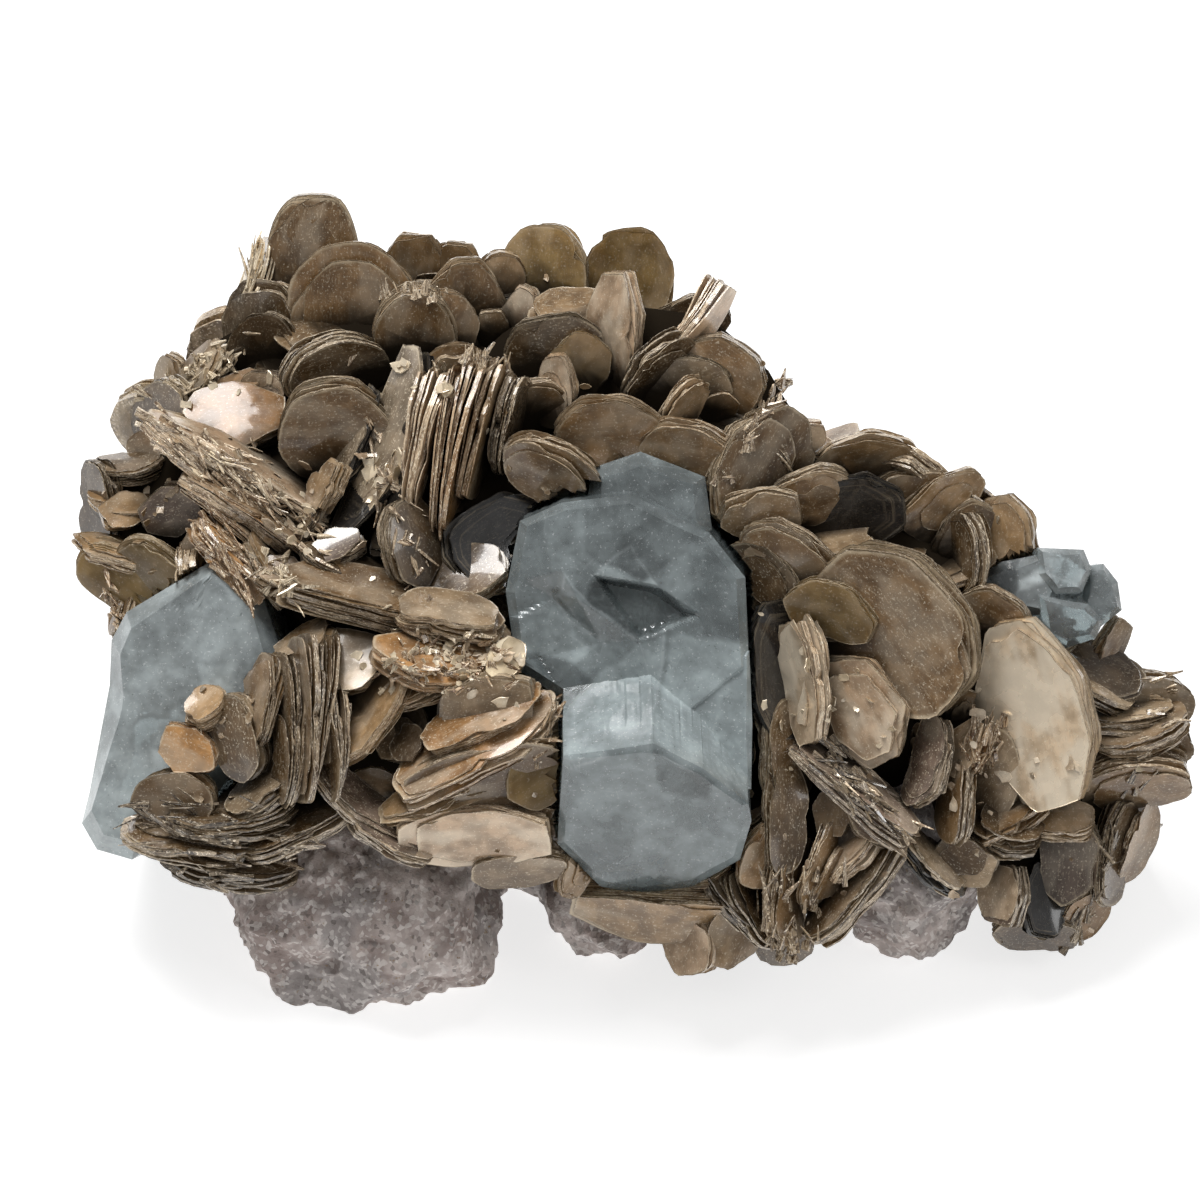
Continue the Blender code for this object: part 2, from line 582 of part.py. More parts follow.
MAIN_UPPER = prism(((-93, 8), (-79, 78), (-38, 96), (30, 104), (108, 66), (143, 22), (147, -70),
                    (92, -116), (-22, -108), (-82, -68)),
                   (0.05, 0.12, -1.0), 175, (0.10, 0.10), 176, bevel=20, drop=20, taper=0.95)
MAIN_TOP = prism(((-10, 130), (40, 147), (104, 122), (112, 60), (40, 10), (-15, 40)),
                 (0.0, -0.3, -1.0), 150, (0.0, -0.25), 132, bevel=14, drop=12, taper=0.95)
MAIN_LOWER = prism(((-36, -152), (6, -147), (52, -140), (101, -165), (146, -200), (149, -217),
                    (138, -256), (92, -283), (40, -291), (0, -283), (-42, -240)),
                   (-0.02, 0.62, -0.78), 250, (0.02, 0.90), 194, bevel=7, drop=5, taper=0.96)
LEFT = prism(((-378, 43), (-338, 15), (-316, -50), (-338, -140), (-395, -210), (-465, -258), (-500, -248),
              (-515, -222), (-507, -190), (-487, -85), (-485, -40), (-470, -12)),
             (0.25, 0.05, -1.0), 150, (0.12, 0.05), 104, bevel=17, drop=22, taper=0.92)
RIGHT = (
    prism(((374, 22), (400, 38), (440, 46), (462, 20), (448, -16), (385, -12)),
          (-0.2, 0.0, -1.0), 95, (0.15, 0.0), 86, bevel=9, drop=9),
    prism(((434, 52), (480, 50), (488, 30), (478, 8), (452, 6), (436, 26)),
          (-0.2, -0.2, -1.0), 80, (0.0, -0.2), 98, bevel=6, drop=8),
    prism(((484, 34), (500, 36), (514, 18), (518, -10), (498, -26), (478, -10)),
          (-0.3, 0.0, -1.0), 80, (0.25, 0.0), 84, bevel=6, drop=8),
    prism(((436, 4), (484, -4), (500, -20), (492, -38), (462, -48), (440, -34)),
          (-0.2, 0.3, -1.0), 80, (0.0, 0.3), 94, bevel=7, drop=8),
)
# Etch pits in the middle crystal's end face: corners of each inverted wedge
PITS = (
    ((-12, 26, 186), (58, 17, 192), (106, -16, 194), (42, -46, 186), (44, -8, 158)),
    ((-86, -16, 178), (-46, 4, 180), (4, -42, 180), (-32, -72, 172), (-40, -34, 152)),
)

AQUAMARINES = {
    "aquamarine_main": (MAIN_LOWER, MAIN_UPPER, MAIN_TOP),
    "aquamarine_left": (LEFT,),
    "aquamarine_right": RIGHT,
}
AQUA_COLOUR = {
    "aquamarine_main": (0.235, 0.275, 0.272),
    "aquamarine_left": (0.295, 0.330, 0.335),
    "aquamarine_right": (0.225, 0.235, 0.235),
}


def mineral(name, colour, roughness, alpha=1.0, ior=1.5):
    look = bpy.data.materials.new(name)
    look.use_nodes = True
    node = look.node_tree.nodes["Principled BSDF"]
    node.inputs["Base Color"].default_value = (*colour, 1.0)
    node.inputs["Roughness"].default_value = roughness
    node.inputs["Metallic"].default_value = 0.0
    node.inputs["IOR"].default_value = ior
    node.inputs["Alpha"].default_value = alpha
    look.diffuse_color = (*colour, 1.0)
    return look


def build_matrix():
    parts = [rock_lump("lump_%d" % k, spec) for k, spec in enumerate(LUMPS)]
    rock = parts[0]
    for lump in parts[1:]:
        cut(rock, lump, "UNION")
    flat_foot(rock)
    rock.name = "matrix"
    return rock


def build_crystal(name, prisms):
    body = hull(name, prisms[0])
    for k, corners in enumerate(prisms[1:]):
        cut(body, hull("%s_%d" % (name, k), corners), "UNION")
    if name == "aquamarine_main":
        for k, corners in enumerate(PITS):
            cut(body, hull("pit_%d" % k, corners))
    return body


def build_muscovite():
    """All the mica: the hearts and books of every rosette grown into one solid."""
    body = heart_lump("muscovite", FRONT, CORE, 2)
    seed = 100
    for group, spec in ROSETTES.items():
        face = spec["face"]
        pieces = [mica_book("%s_%d" % (group, k), face, row, seed + k)
                  for k, row in enumerate(spec["books"])]
        rosette = heart_lump("heart_%s" % group, face, spec["heart"]) if spec["heart"] else pieces.pop()
        for piece in pieces:
            cut(rosette, piece, "UNION")
        cut(body, rosette, "UNION")
        seed += 50
    return body


def below_foot():
    """Everything under the resting plane."""
    bm = bmesh.new()
    bmesh.ops.create_cube(bm, size=0.3)
    bmesh.ops.translate(bm, verts=bm.verts[:], vec=(0, 0, FOOT_CLEAR - 0.15))
    return finish("below_foot", bm)


def main():
    for old in list(bpy.data.objects):
        bpy.data.objects.remove(old)
    rock = build_matrix()
    crystals = {name: build_crystal(name, prisms) for name, prisms in AQUAMARINES.items()}
    mica = build_muscovite()
    for lump in LUMPS:
        cut(mica, rock_lump("room", lump, GAP * 1.6))
    for prisms in AQUAMARINES.values():
        for corners in prisms:
            cut(rock, hull("seat", corners, GAP * 1.3))
            cut(mica, hull("seat", corners, GAP * 1.3))
    cut(mica, below_foot())
    solids = [rock, mica, *crystals.values()]
    looks = {"matrix": mineral("feldspar", (0.40, 0.34, 0.31), 0.85),
             "muscovite": mineral("muscovite", (0.22, 0.165, 0.115), 0.42)}
    for solid in solids:
        tidy(solid, 0.2 if solid.name.startswith("aqua") else 1.0)
        look = looks.get(solid.name) or mineral(solid.name, AQUA_COLOUR[solid.name], 0.28, ior=1.577)
        solid.data.materials.clear()
        solid.data.materials.append(look)
    simplify(mica, MICA_SHARE)
    corners = np.array([v.co[:] for s in solids for v in s.data.vertices])
    low, high = corners.min(axis=0), corners.max(axis=0)
    shift = Vector((-(low[0] + high[0]) / 2, -(low[1] + high[1]) / 2, -low[2]))
    for solid in solids:
        solid.data.transform(Matrix.Translation(shift))


main()
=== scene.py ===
"""Aquamarine on muscovite specimen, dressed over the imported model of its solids.

A lump of granular feldspar rock carries rosettes of brown muscovite books, with three groups of
cloudy blue-grey aquamarine.  Books, flakes, rock and crystals are numpy surfaces.  Lengths in the
tables are in table units of an eighth of a millimetre, except where a comment says mm.
"""

import json
import math

import bpy
import numpy as np
from mathutils import Matrix, Vector
from mathutils.bvhtree import BVHTree
from mathutils.geometry import delaunay_2d_cdt

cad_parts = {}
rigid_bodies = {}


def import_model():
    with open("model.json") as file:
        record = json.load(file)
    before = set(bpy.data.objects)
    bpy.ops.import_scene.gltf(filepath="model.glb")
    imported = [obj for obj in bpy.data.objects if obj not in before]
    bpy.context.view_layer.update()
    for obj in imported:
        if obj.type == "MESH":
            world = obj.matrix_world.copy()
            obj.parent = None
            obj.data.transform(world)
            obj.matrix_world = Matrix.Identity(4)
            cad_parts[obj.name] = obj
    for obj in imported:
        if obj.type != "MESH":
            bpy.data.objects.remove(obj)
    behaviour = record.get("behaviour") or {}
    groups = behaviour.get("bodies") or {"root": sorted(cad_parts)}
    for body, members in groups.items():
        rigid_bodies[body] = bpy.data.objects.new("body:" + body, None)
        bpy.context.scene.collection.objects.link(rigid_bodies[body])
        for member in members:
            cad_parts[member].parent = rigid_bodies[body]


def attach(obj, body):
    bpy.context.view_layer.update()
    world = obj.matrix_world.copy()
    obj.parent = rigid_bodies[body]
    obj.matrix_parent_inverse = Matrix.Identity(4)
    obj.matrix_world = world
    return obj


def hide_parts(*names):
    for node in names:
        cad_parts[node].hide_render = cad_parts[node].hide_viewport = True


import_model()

bl_info = {
    "name": "Aquamarine on muscovite specimen",
    "version": (1, 0, 0),
    "blender": (4, 5, 0),
    "location": "3D View > Sidebar > Specimen",
    "description": "Builds a hand specimen of aquamarine crystals on muscovite mica",
    "category": "Add Mesh",
}

UNIT = 0.000125                                  # metres in one table unit
MM = 0.001
SHIFT = np.array((-3.753, -2.581, 0.0)) * MM     # from the growth's own middle to the foot's


# ------------------------------------------------------------------ sides of the mound

def face_axes(azimuth, slope, middle, swelling):
    """A side of the mound: right, up and outward axes, middle point and swelling numbers."""
    turn, rise = math.radians(azimuth), math.radians(slope)
    out = np.array((math.sin(turn) * math.cos(rise), -math.cos(turn) * math.cos(rise), math.sin(rise)))
    right = np.array((math.cos(turn), math.sin(turn), 0.0))
    return dict(right=right, up=np.cross(out, right), out=out,
                middle=np.array(middle) * MM + SHIFT, swelling=swelling)


# swelling: crown, fall across, fall along and offset of the mound over the side's plane, mm
FRONT = face_axes(0.0, 50.0, (0, 0, 30), (20.0, 0.0030, 0.00876, 14.0))
BACK = face_axes(180.0, 15.0, (-16, 0, 24), (43.0, 0.0060, 0.0100, 4.0))
BACK_RIGHT = face_axes(150.0, 35.0, (22, -6, 16), (27.0, 0.0070, 0.0120, 2.0))
LEFT_SIDE = face_axes(272.0, 20.0, (-20, 6, 18), (36.0, 0.0080, 0.0100, 2.0))
RIGHT_SIDE = face_axes(90.0, 15.0, (20, 0, 18), (36.0, 0.0080, 0.0100, 2.0))
TOP_SIDE = face_axes(0.0, 85.0, (0, 0, 18), (36.0, 0.0080, 0.0100, 2.0))


def to_world(face, u, v, h):
    """Side coordinates in table units to metres."""
    return face["middle"] + (face["right"] * u + face["up"] * v + face["out"] * h) * UNIT


def swell(face, u, v):
    """Height of the mound over the side's plane: crown - across a^2 - along (b + offset)^2."""
    a, b = u * UNIT / MM, v * UNIT / MM
    crown, across, along, offset = face["swelling"]
    return (crown - across * a * a - along * (b + offset) ** 2) * MM / UNIT


def unit(vector):
    """The vector at length one."""
    return vector / np.linalg.norm(vector)


def plate_axes(face, along, lean_to, lean):
    """Axes of a plate: long axis, cross axis and basal normal leaning away from the side's own."""
    along, lean_to, lean = math.radians(along), math.radians(lean_to), math.radians(lean)
    right, up, out = face["right"], face["up"], face["out"]
    normal = unit((right * math.cos(lean_to) + up * math.sin(lean_to)) * math.sin(lean)
                  + out * math.cos(lean))
    wish = right * math.cos(along) + up * math.sin(along)
    x_axis = unit(wish - normal * wish.dot(normal))
    return np.array((x_axis, np.cross(normal, x_axis), normal))


# ------------------------------------------------------------------ tables

# Mica finishes: face colour, gleam (pearly shine, and the strength of the painted sheen), clearness
# (light passing through)
TONES = {
    "b": ((0.50, 0.41, 0.31), 0.15, 0.25),     # brown book
    "d": ((0.33, 0.27, 0.20), 0.05, 0.10),     # dark brown book
    "k": ((0.15, 0.15, 0.16), 0.05, 0.00),     # charcoal blade
    "a": ((0.58, 0.44, 0.29), 0.08, 0.30),     # amber
    "o": ((0.58, 0.51, 0.37), 0.15, 0.55),     # olive, clear book
    "t": ((0.585, 0.495, 0.39), 0.20, 0.25),   # tan book
    "p": ((0.69, 0.61, 0.54), 0.40, 0.10),     # pinkish cream
    "s": ((0.86, 0.80, 0.74), 0.75, 0.10),     # silver, pearly
    "g": ((0.62, 0.48, 0.33), 0.22, 0.15),     # golden
    "v": ((0.45, 0.40, 0.38), 0.15, 0.05),     # purple grey
    "c": ((0.88, 0.84, 0.77), 0.50, 0.20),     # cream
}
ROUND_TONES = "bdo"                             # finishes of the rounder, disc-like books

# The grown-together middle of the mica: u, v, rise and half sizes
CORE = (0, -40, -172, 440, 245, 144)

# Books of each rosette: u, v, rise, length, width, thickness, along, lean_to, lean, finish
ROSETTES = {
    "back_left": dict(face=FRONT, heart=(-230, 205, -106, 186, 106, 52), books=(
        (-288, 325, -42, 170, 95, 22, 90, 250, 15, "b"),
        (-353, 315, -44, 115, 70, 14, 72, 162, 74, "c"),
        (-338, 266, -30, 120, 88, 22, 84, 222, 30, "d"),
        (-248, 286, -12, 152, 130, 26, 90, 262, 14, "b"),
        (-188, 320, -44, 112, 80, 18, 90, 270, 18, "t"),
        (-143, 318, -52, 96, 66, 16, 95, 265, 18, "t"),
        (-185, 265, 8, 98, 86, 28, 90, 285, 22, "b"),
        (-158, 268, -8, 92, 76, 16, 90, 300, 20, "b"),
        (-138, 290, -28, 112, 90, 20, 85, 300, 18, "b"),
        (-265, 228, 12, 108, 78, 30, 5, 300, 34, "d"),
        (-262, 168, 24, 116, 108, 30, 0, 265, 26, "b"),
        (-338, 205, 0, 66, 52, 18, 20, 200, 30, "v"),
        (-362, 180, 12, 104, 78, 26, 0, 88, 30, "a"),
        (-370, 205, 4, 84, 52, 16, 30, 110, 58, "a"),
        (-430, 226, -22, 46, 36, 20, 70, 200, 40, "t"),
        (-400, 222, -12, 84, 60, 26, 50, 140, 55, "t"),
        (-436, 182, -10, 88, 66, 20, 60, 210, 40, "d"),
        (-150, 215, -14, 92, 76, 20, 40, 290, 25, "b"),
    )),
    "far_left": dict(face=FRONT, heart=(-370, 80, -84, 125, 100, 50), books=(
        (-362, 122, 22, 215, 76, 46, -37, 53, 70, "p"),
        (-385, 150, 14, 130, 60, 24, -25, 65, 62, "t"),
        (-345, 80, 12, 175, 70, 34, -35, 53, 66, "g"),
        (-499, 96, -18, 98, 56, 22, 72, 200, 50, "d"),
        (-468, 134, -10, 80, 56, 18, 8, 98, 66, "d"),
        (-450, 152, -18, 50, 42, 20, 10, 180, 40, "b"),
        (-474, 88, -2, 56, 40, 16, 20, 60, 25, "t"),
        (-426, 90, 2, 66, 56, 18, 20, 250, 20, "v"),
        (-394, 55, 8, 56, 44, 16, 80, 230, 25, "t"),
        (-482, 48, 0, 96, 62, 16, -14, 76, 68, "t"),
        (-478, 22, -8, 98, 60, 28, -35, 240, 25, "o"),
        (-440, 30, -2, 90, 50, 24, -30, 230, 35, "o"),
        (-478, -15, -16, 54, 38, 14, 75, 165, 66, "b"),
        (-365, 42, 12, 104, 56, 30, -49, 41, 66, "g"),
        (-330, 30, 10, 84, 44, 22, -55, 35, 60, "t"),
    )),
    "centre_left": dict(face=FRONT, heart=None, books=(
        (-212, 155, 32, 208, 58, 16, 66, 156, 45, "k"),
        (-248, 150, 12, 126, 48, 18, 62, 152, 56, "k"),
        (-198, 105, 18, 142, 54, 18, 72, 162, 56, "k"),
        (-173, 153, 38, 158, 84, 24, 79, 349, 78, "p"),
        (-143, 150, 40, 182, 92, 26, 80, 350, 78, "g"),
        (-118, 170, 34, 150, 84, 22, 76, 346, 76, "t"),
        (-90, 175, 24, 108, 74, 18, 78, 348, 74, "d"),
        (-185, 55, 12, 94, 70, 24, 100, 10, 35, "d"),
        (-100, 55, -14, 122, 100, 24, 30, 60, 25, "k"),
        (-130, 25, 0, 88, 62, 18, 10, 120, 35, "d"),
        (-47, 128, 24, 106, 66, 26, -30, 250, 34, "b"),
        (-230, 0, 16, 178, 66, 30, -14, 76, 52, "b"),
        (-150, -18, 20, 112, 58, 34, -12, 78, 48, "b"),
        (-250, 28, 8, 110, 50, 20, -25, 65, 56, "d"),
        (-275, 12, 10, 94, 48, 22, -20, 70, 54, "d"),
        (-313, 22, 16, 60, 44, 20, -20, 80, 40, "b"),
        (-270, 112, 22, 58, 40, 20, 70, 150, 50, "t"),
        (-260, 50, 14, 58, 42, 18, 30, 110, 40, "v"),
        (-300, 70, 2, 84, 50, 18, 50, 140, 50, "d"),
    )),
    "front_left": dict(face=FRONT, heart=(-320, -150, -85, 100, 85, 50), books=(
        (-388, -106, 30, 50, 42, 24, 60, 120, 40, "t"),
        (-406, -147, 32, 64, 52, 20, -25, 200, 20, "g"),
        (-356, -135, 26, 90, 58, 24, 105, 195, 35, "d"),
        (-334, -100, 28, 100, 64, 16, 80, 170, 62, "b"),
        (-310, -128, 28, 156, 74, 22, 88, 178, 64, "d"),
        (-288, -118, 32, 170, 84, 22, 86, 176, 66, "b"),
        (-267, -138, 28, 130, 74, 22, 92, 182, 66, "d"),
        (-288, -42, 20, 78, 56, 18, 30, 120, 60, "t"),
        (-248, -62, 20, 80, 68, 20, 30, 100, 25, "t"),
        (-225, -112, 22, 116, 64, 20, 55, 145, 48, "t"),
        (-420, -197, 32, 86, 62, 26, 10, 230, 20, "b"),
        (-408, -235, 28, 136, 78, 24, -8, 82, 54, "d"),
        (-365, -210, 26, 134, 74, 20, 5, 95, 56, "d"),
        (-380, -222, 20, 120, 70, 18, -2, 88, 58, "v"),
        (-365, -262, 14, 136, 64, 22, -6, 84, 56, "d"),
        (-330, -185, 24, 96, 64, 18, 40, 130, 55, "d"),
        (-300, -225, 10, 120, 60, 22, 25, 115, 55, "d"),
    )),
    "front_centre": dict(face=FRONT, heart=None, books=(
        (-150, -58, 22, 148, 62, 26, 5, 80, 42, "g"),
        (-95, -60, 28, 58, 38, 16, 60, 60, 30, "c"),
        (-200, -52, 22, 58, 44, 20, 40, 120, 40, "g"),
        (-175, -84, 14, 90, 56, 18, 25, 115, 50, "b"),
        (-196, -130, 12, 68, 60, 18, 90, 150, 30, "d"),
        (-113, -105, 26, 106, 70, 24, 20, 250, 22, "t"),
        (-125, -140, 30, 178, 84, 36, 28, 118, 46, "g"),
        (-105, -172, 26, 176, 78, 28, 12, 280, 30, "b"),
        (-55, -170, 26, 86, 68, 18, 30, 300, 18, "o"),
        (-150, -190, 16, 150, 60, 22, 20, 110, 50, "t"),
        (-125, -232, 22, 152, 72, 26, 4, 265, 36, "p"),
        (-205, -228, 16, 106, 58, 22, -30, 60, 48, "v"),
        (-235, -200, 14, 116, 54, 18, -40, 50, 55, "v"),
        (-80, -262, 12, 96, 42, 20, 8, 270, 40, "b"),
        (-22, -266, 8, 62, 42, 18, 60, 330, 40, "t"),
        (-46, -122, 2, 62, 50, 16, 60, 45, 46, "d"),
        (-60, -225, 8, 90, 60, 20, 15, 260, 30, "d"),
    )),
    "foot": dict(face=FRONT, heart=(170, -235, -80, 135, 80, 52), books=(
        (72, -306, -6, 192, 56, 30, -3, 266, 42, "t"),
        (90, -338, 4, 76, 56, 26, 100, 190, 30, "p"),
        (130, -330, 8, 72, 60, 22, 70, 300, 25, "t"),
        (181, -215, 8, 118, 48, 20, 88, 0, 30, "d"),
        (160, -252, 12, 72, 46, 18, 60, 330, 25, "g"),
        (185, -285, 12, 120, 66, 20, 84, 354, 56, "b"),
        (222, -262, 12, 96, 56, 20, 68, 338, 56, "b"),
        (150, -305, 10, 96, 56, 20, 120, 30, 56, "d"),
        (128, -290, 2, 100, 50, 18, 130, 40, 56, "d"),
        (242, -215, 8, 78, 64, 20, 80, 200, 20, "t"),
        (270, -212, 12, 72, 60, 20, -45, 30, 25, "v"),
        (250, -250, 14, 74, 44, 22, 45, 135, 50, "p"),
        (250, -288, 10, 134, 56, 24, 50, 140, 55, "b"),
        (182, -340, 4, 60, 42, 24, 10, 270, 30, "d"),
        (185, -150, -10, 110, 60, 20, 85, 0, 35, "d"),
    )),
    "right": dict(face=FRONT, heart=(330, -60, -92, 130, 100, 52), books=(
        (430, -110, 16, 192, 112, 36, 100, 195, 22, "s"),
        (292, -30, 22, 184, 150, 38, -50, 215, 22, "b"),
        (258, -108, 14, 116, 86, 24, -60, 200, 25, "p"),
        (228, -10, 22, 96, 62, 22, -20, 250, 25, "o"),
        (185, 42, 10, 106, 68, 24, -30, 240, 30, "b"),
        (165, 20, -8, 100, 70, 20, -50, 220, 35, "d"),
        (203, -80, 13, 128, 58, 24, 96, 186, 57, "s"),
        (180, -70, -14, 140, 80, 24, 90, 10, 30, "k"),
        (485, -68, -10, 114, 66, 20, -15, 60, 35, "d"),
        (488, -82, -2, 96, 58, 16, -33, 57, 56, "d"),
        (505, -50, -12, 76, 34, 16, 60, 330, 35, "b"),
        (325, -160, 14, 96, 48, 20, 75, 165, 45, "v"),
        (353, -200, 14, 90, 48, 20, 85, 175, 56, "b"),
        (365, -148, 12, 70, 44, 18, 60, 150, 35, "g"),
        (249, -187, 11, 156, 64, 24, -40, 50, 61, "v"),
        (390, -20, -6, 90, 70, 22, -30, 240, 30, "b"),
        (405, -215, 6, 90, 60, 22, 30, 120, 45, "b"),
        (378, -180, -16, 120, 84, 24, 60, 200, 20, "d"),
    )),
    "front_right": dict(face=FRONT, heart=(440, -215, -72, 110, 85, 48), books=(
        (547, -100, -6, 90, 58, 22, -15, 300, 30, "b"),
        (535, -132, 2, 106, 66, 24, 12, 102, 58, "b"),
        (520, -115, -6, 100, 60, 18, 2, 92, 60, "d"),
        (558, -146, 2, 68, 50, 18, 5, 290, 25, "b"),
        (533, -178, 0, 114, 66, 32, 10, 275, 50, "b"),
        (512, -252, 0, 110, 52, 20, 80, 350, 55, "d"),
        (532, -242, -8, 86, 48, 18, 75, 345, 55, "b"),
        (458, -220, 10, 70, 48, 20, 5, 90, 38, "t"),
        (468, -258, 2, 92, 64, 20, 80, 200, 20, "v"),
        (402, -228, 12, 78, 54, 28, -20, 70, 46, "d"),
        (403, -293, 8, 68, 54, 24, 80, 170, 38, "v"),
        (440, -300, 0, 80, 52, 20, 85, 10, 30, "k"),
        (478, -312, 0, 62, 50, 24, 40, 320, 35, "b"),
        (435, -330, -2, 88, 42, 20, 0, 270, 42, "d"),
        (362, -258, 10, 68, 54, 20, -30, 250, 20, "d"),
        (330, -262, 6, 92, 56, 20, -48, 42, 60, "k"),
    )),
    "back_right": dict(face=FRONT, heart=(270, 60, -84, 150, 80, 42), books=(
        (257, 124, -20, 134, 84, 24, 22, 280, 25, "t"),
        (245, 88, -10, 116, 82, 22, 5, 275, 20, "k"),
        (300, 98, -18, 100, 66, 20, 30, 300, 25, "b"),
        (337, 95, -8, 98, 54, 22, 40, 310, 25, "t"),
        (362, 62, -20, 90, 60, 20, 60, 300, 25, "b"),
        (365, 42, -4, 92, 54, 18, 92, 182, 60, "d"),
        (403, 60, -8, 98, 66, 24, 100, 200, 25, "t"),
        (158, 130, 6, 134, 96, 30, 60, 330, 25, "b"),
        (190, 160, -10, 70, 44, 18, 10, 300, 30, "p"),
        (160, 85, 14, 90, 58, 22, 10, 270, 30, "t"),
        (210, 100, -2, 90, 66, 20, 20, 290, 30, "b"),
    )),
    "back_centre": dict(face=FRONT, heart=(20, 190, -88, 170, 110, 50), books=(
        (-55, 325, -25, 108, 90, 24, 90, 215, 15, "o"),
        (29, 323, -40, 108, 90, 14, 90, 270, 8, "o"),
        (-78, 288, -22, 62, 38, 18, 75, 190, 30, "p"),
        (-98, 310, -36, 90, 60, 18, 90, 270, 18, "b"),
        (-44, 242, -4, 104, 98, 22, 0, 270, 18, "d"),
        (-22, 234, 2, 76, 64, 16, 60, 275, 17, "o"),
        (-44, 208, 14, 80, 44, 16, 85, 200, 25, "p"),
        (17, 262, 8, 132, 56, 24, 83, 195, 32, "p"),
        (55, 228, -4, 96, 56, 20, 50, 320, 46, "d"),
        (85, 260, 6, 142, 44, 20, 53, 323, 62, "p"),
        (122, 225, -14, 92, 80, 24, -40, 240, 20, "b"),
        (82, 192, 4, 72, 44, 18, 50, 320, 46, "b"),
        (10, 162, 6, 114, 88, 24, 0, 270, 20, "b"),
        (88, 148, 10, 102, 66, 24, -10, 250, 30, "b"),
        (85, 205, -30, 104, 84, 22, 20, 270, 20, "d"),
        (-70, 185, -6, 90, 70, 20, 40, 280, 30, "b"),
    )),
    "rear": dict(face=BACK, heart=(0, -60, -70, 260, 130, 50), books=(
        (150, 10, -6, 140, 110, 28, 80, 290, 25, "b"),
        (240, -10, 0, 130, 96, 26, 70, 250, 30, "t"),
        (60, 0, 0, 130, 110, 26, 60, 270, 25, "d"),
        (-40, -10, 4, 130, 100, 26, 100, 230, 30, "o"),
        (-120, -40, 0, 120, 90, 24, 80, 280, 30, "b"),
        (200, -80, 8, 150, 80, 24, 20, 80, 45, "t"),
        (90, -90, 12, 140, 80, 24, 160, 60, 50, "b"),
        (-20, -100, 8, 130, 76, 24, 30, 110, 50, "d"),
        (280, -100, 0, 120, 80, 24, 60, 330, 40, "t"),
        (-110, -130, 0, 120, 70, 22, 140, 50, 45, "b"),
        (330, -50, -6, 120, 80, 22, 100, 200, 35, "o"),
        (150, -150, 4, 130, 60, 22, 0, 90, 55, "b"),
        (-200, 10, -22, 140, 96, 26, 70, 280, 25, "t"),
        (-300, -10, -104, 140, 96, 34, 100, 240, 34, "d"),
        (-390, -30, -60, 116, 80, 24, 60, 300, 30, "b"),
        (-100, 20, -16, 130, 96, 26, 70, 270, 28, "t"),
        (-240, -70, -6, 130, 80, 24, 20, 100, 50, "o"),
        (-345, -90, -14, 120, 72, 22, 150, 60, 48, "b"),
        (-205, 66, -36, 120, 84, 22, 80, 272, 28, "t"),
        (-125, 62, -46, 116, 80, 22, 100, 255, 30, "b"),
        (-45, 70, -34, 116, 80, 22, 75, 280, 28, "o"),
        (40, 72, -22, 120, 84, 22, 95, 262, 30, "b"),
        (125, 74, -10, 120, 84, 22, 80, 280, 28, "t"),
        (205, 66, 0, 116, 80, 22, 100, 258, 30, "b"),
    )),
    "rear_right": dict(face=BACK_RIGHT, heart=(0, -30, -60, 180, 90, 45), books=(
        (0, 30, 16, 130, 96, 26, 60, 270, 25, "b"),
        (-90, 6, 8, 120, 84, 24, 100, 240, 26, "t"),
        (90, 10, -3, 120, 84, 24, 80, 290, 30, "d"),
        (-160, -20, 36, 110, 70, 22, 70, 160, 45, "o"),
        (-50, -60, 16, 130, 72, 24, 30, 110, 50, "b"),
        (60, -70, 8, 130, 72, 24, 150, 70, 50, "t"),
        (-130, -80, 0, 110, 60, 22, 110, 200, 45, "b"),
        (-62, 70, 58, 116, 84, 24, 80, 280, 24, "t"),
        (30, 100, 8, 120, 84, 24, 100, 260, 30, "b"),
        (-138, 44, 60, 104, 74, 22, 60, 250, 26, "d"),
        (108, 84, 34, 116, 84, 24, 70, 290, 26, "t"),
        (-200, 18, 34, 100, 72, 22, 80, 220, 34, "b"),
        (60, 146, 40, 108, 76, 22, 85, 270, 28, "b"),
    )),
    "left_end": dict(face=LEFT_SIDE, heart=(0, 0, -60, 150, 90, 45), books=(
        (-60, 60, 0, 120, 84, 24, 80, 270, 30, "b"),
        (60, 50, 0, 120, 90, 24, 60, 290, 30, "t"),
        (-20, -10, 8, 130, 76, 24, 30, 110, 50, "d"),
        (90, -30, 0, 120, 70, 22, 120, 40, 45, "o"),
        (-110, -20, -6, 110, 70, 22, 60, 200, 40, "b"),
    )),
}


# ------------------------------------------------------------------ numbers on a lattice

def lattice(cell, seed):
    """A fixed value from 0 to 1 for every whole-number cell of space."""
    mixed = (cell[..., 0] * 73856093) ^ (cell[..., 1] * 19349663) ^ (cell[..., 2] * 83492791)
    mixed = (mixed ^ (seed * 2654435761)) & 0x7FFFFFFF
    mixed = (mixed * 1103515245 + 12345) & 0x7FFFFFFF
    mixed = ((mixed ^ (mixed >> 15)) * 73244475) & 0x7FFFFFFF
    return ((mixed ^ (mixed >> 13)) & 0xFFFFFF) / float(0xFFFFFF)


def ripple(points, size, seed):
    """Smooth noise from -1 to 1: lattice values blended by 3f^2 - 2f^3 along each axis."""
    scaled = np.asarray(points, float) / size
    cell = np.floor(scaled).astype(np.int64)
    part = scaled - cell
    part = part * part * (3.0 - 2.0 * part)
    total = 0.0
    for corner in range(8):
        step = np.array((corner & 1, corner >> 1 & 1, corner >> 2 & 1))
        weight = np.prod(np.where(step == 1, part, 1.0 - part), axis=-1)
        total = total + weight * lattice(cell + step, seed)
    return 2.0 * total - 1.0


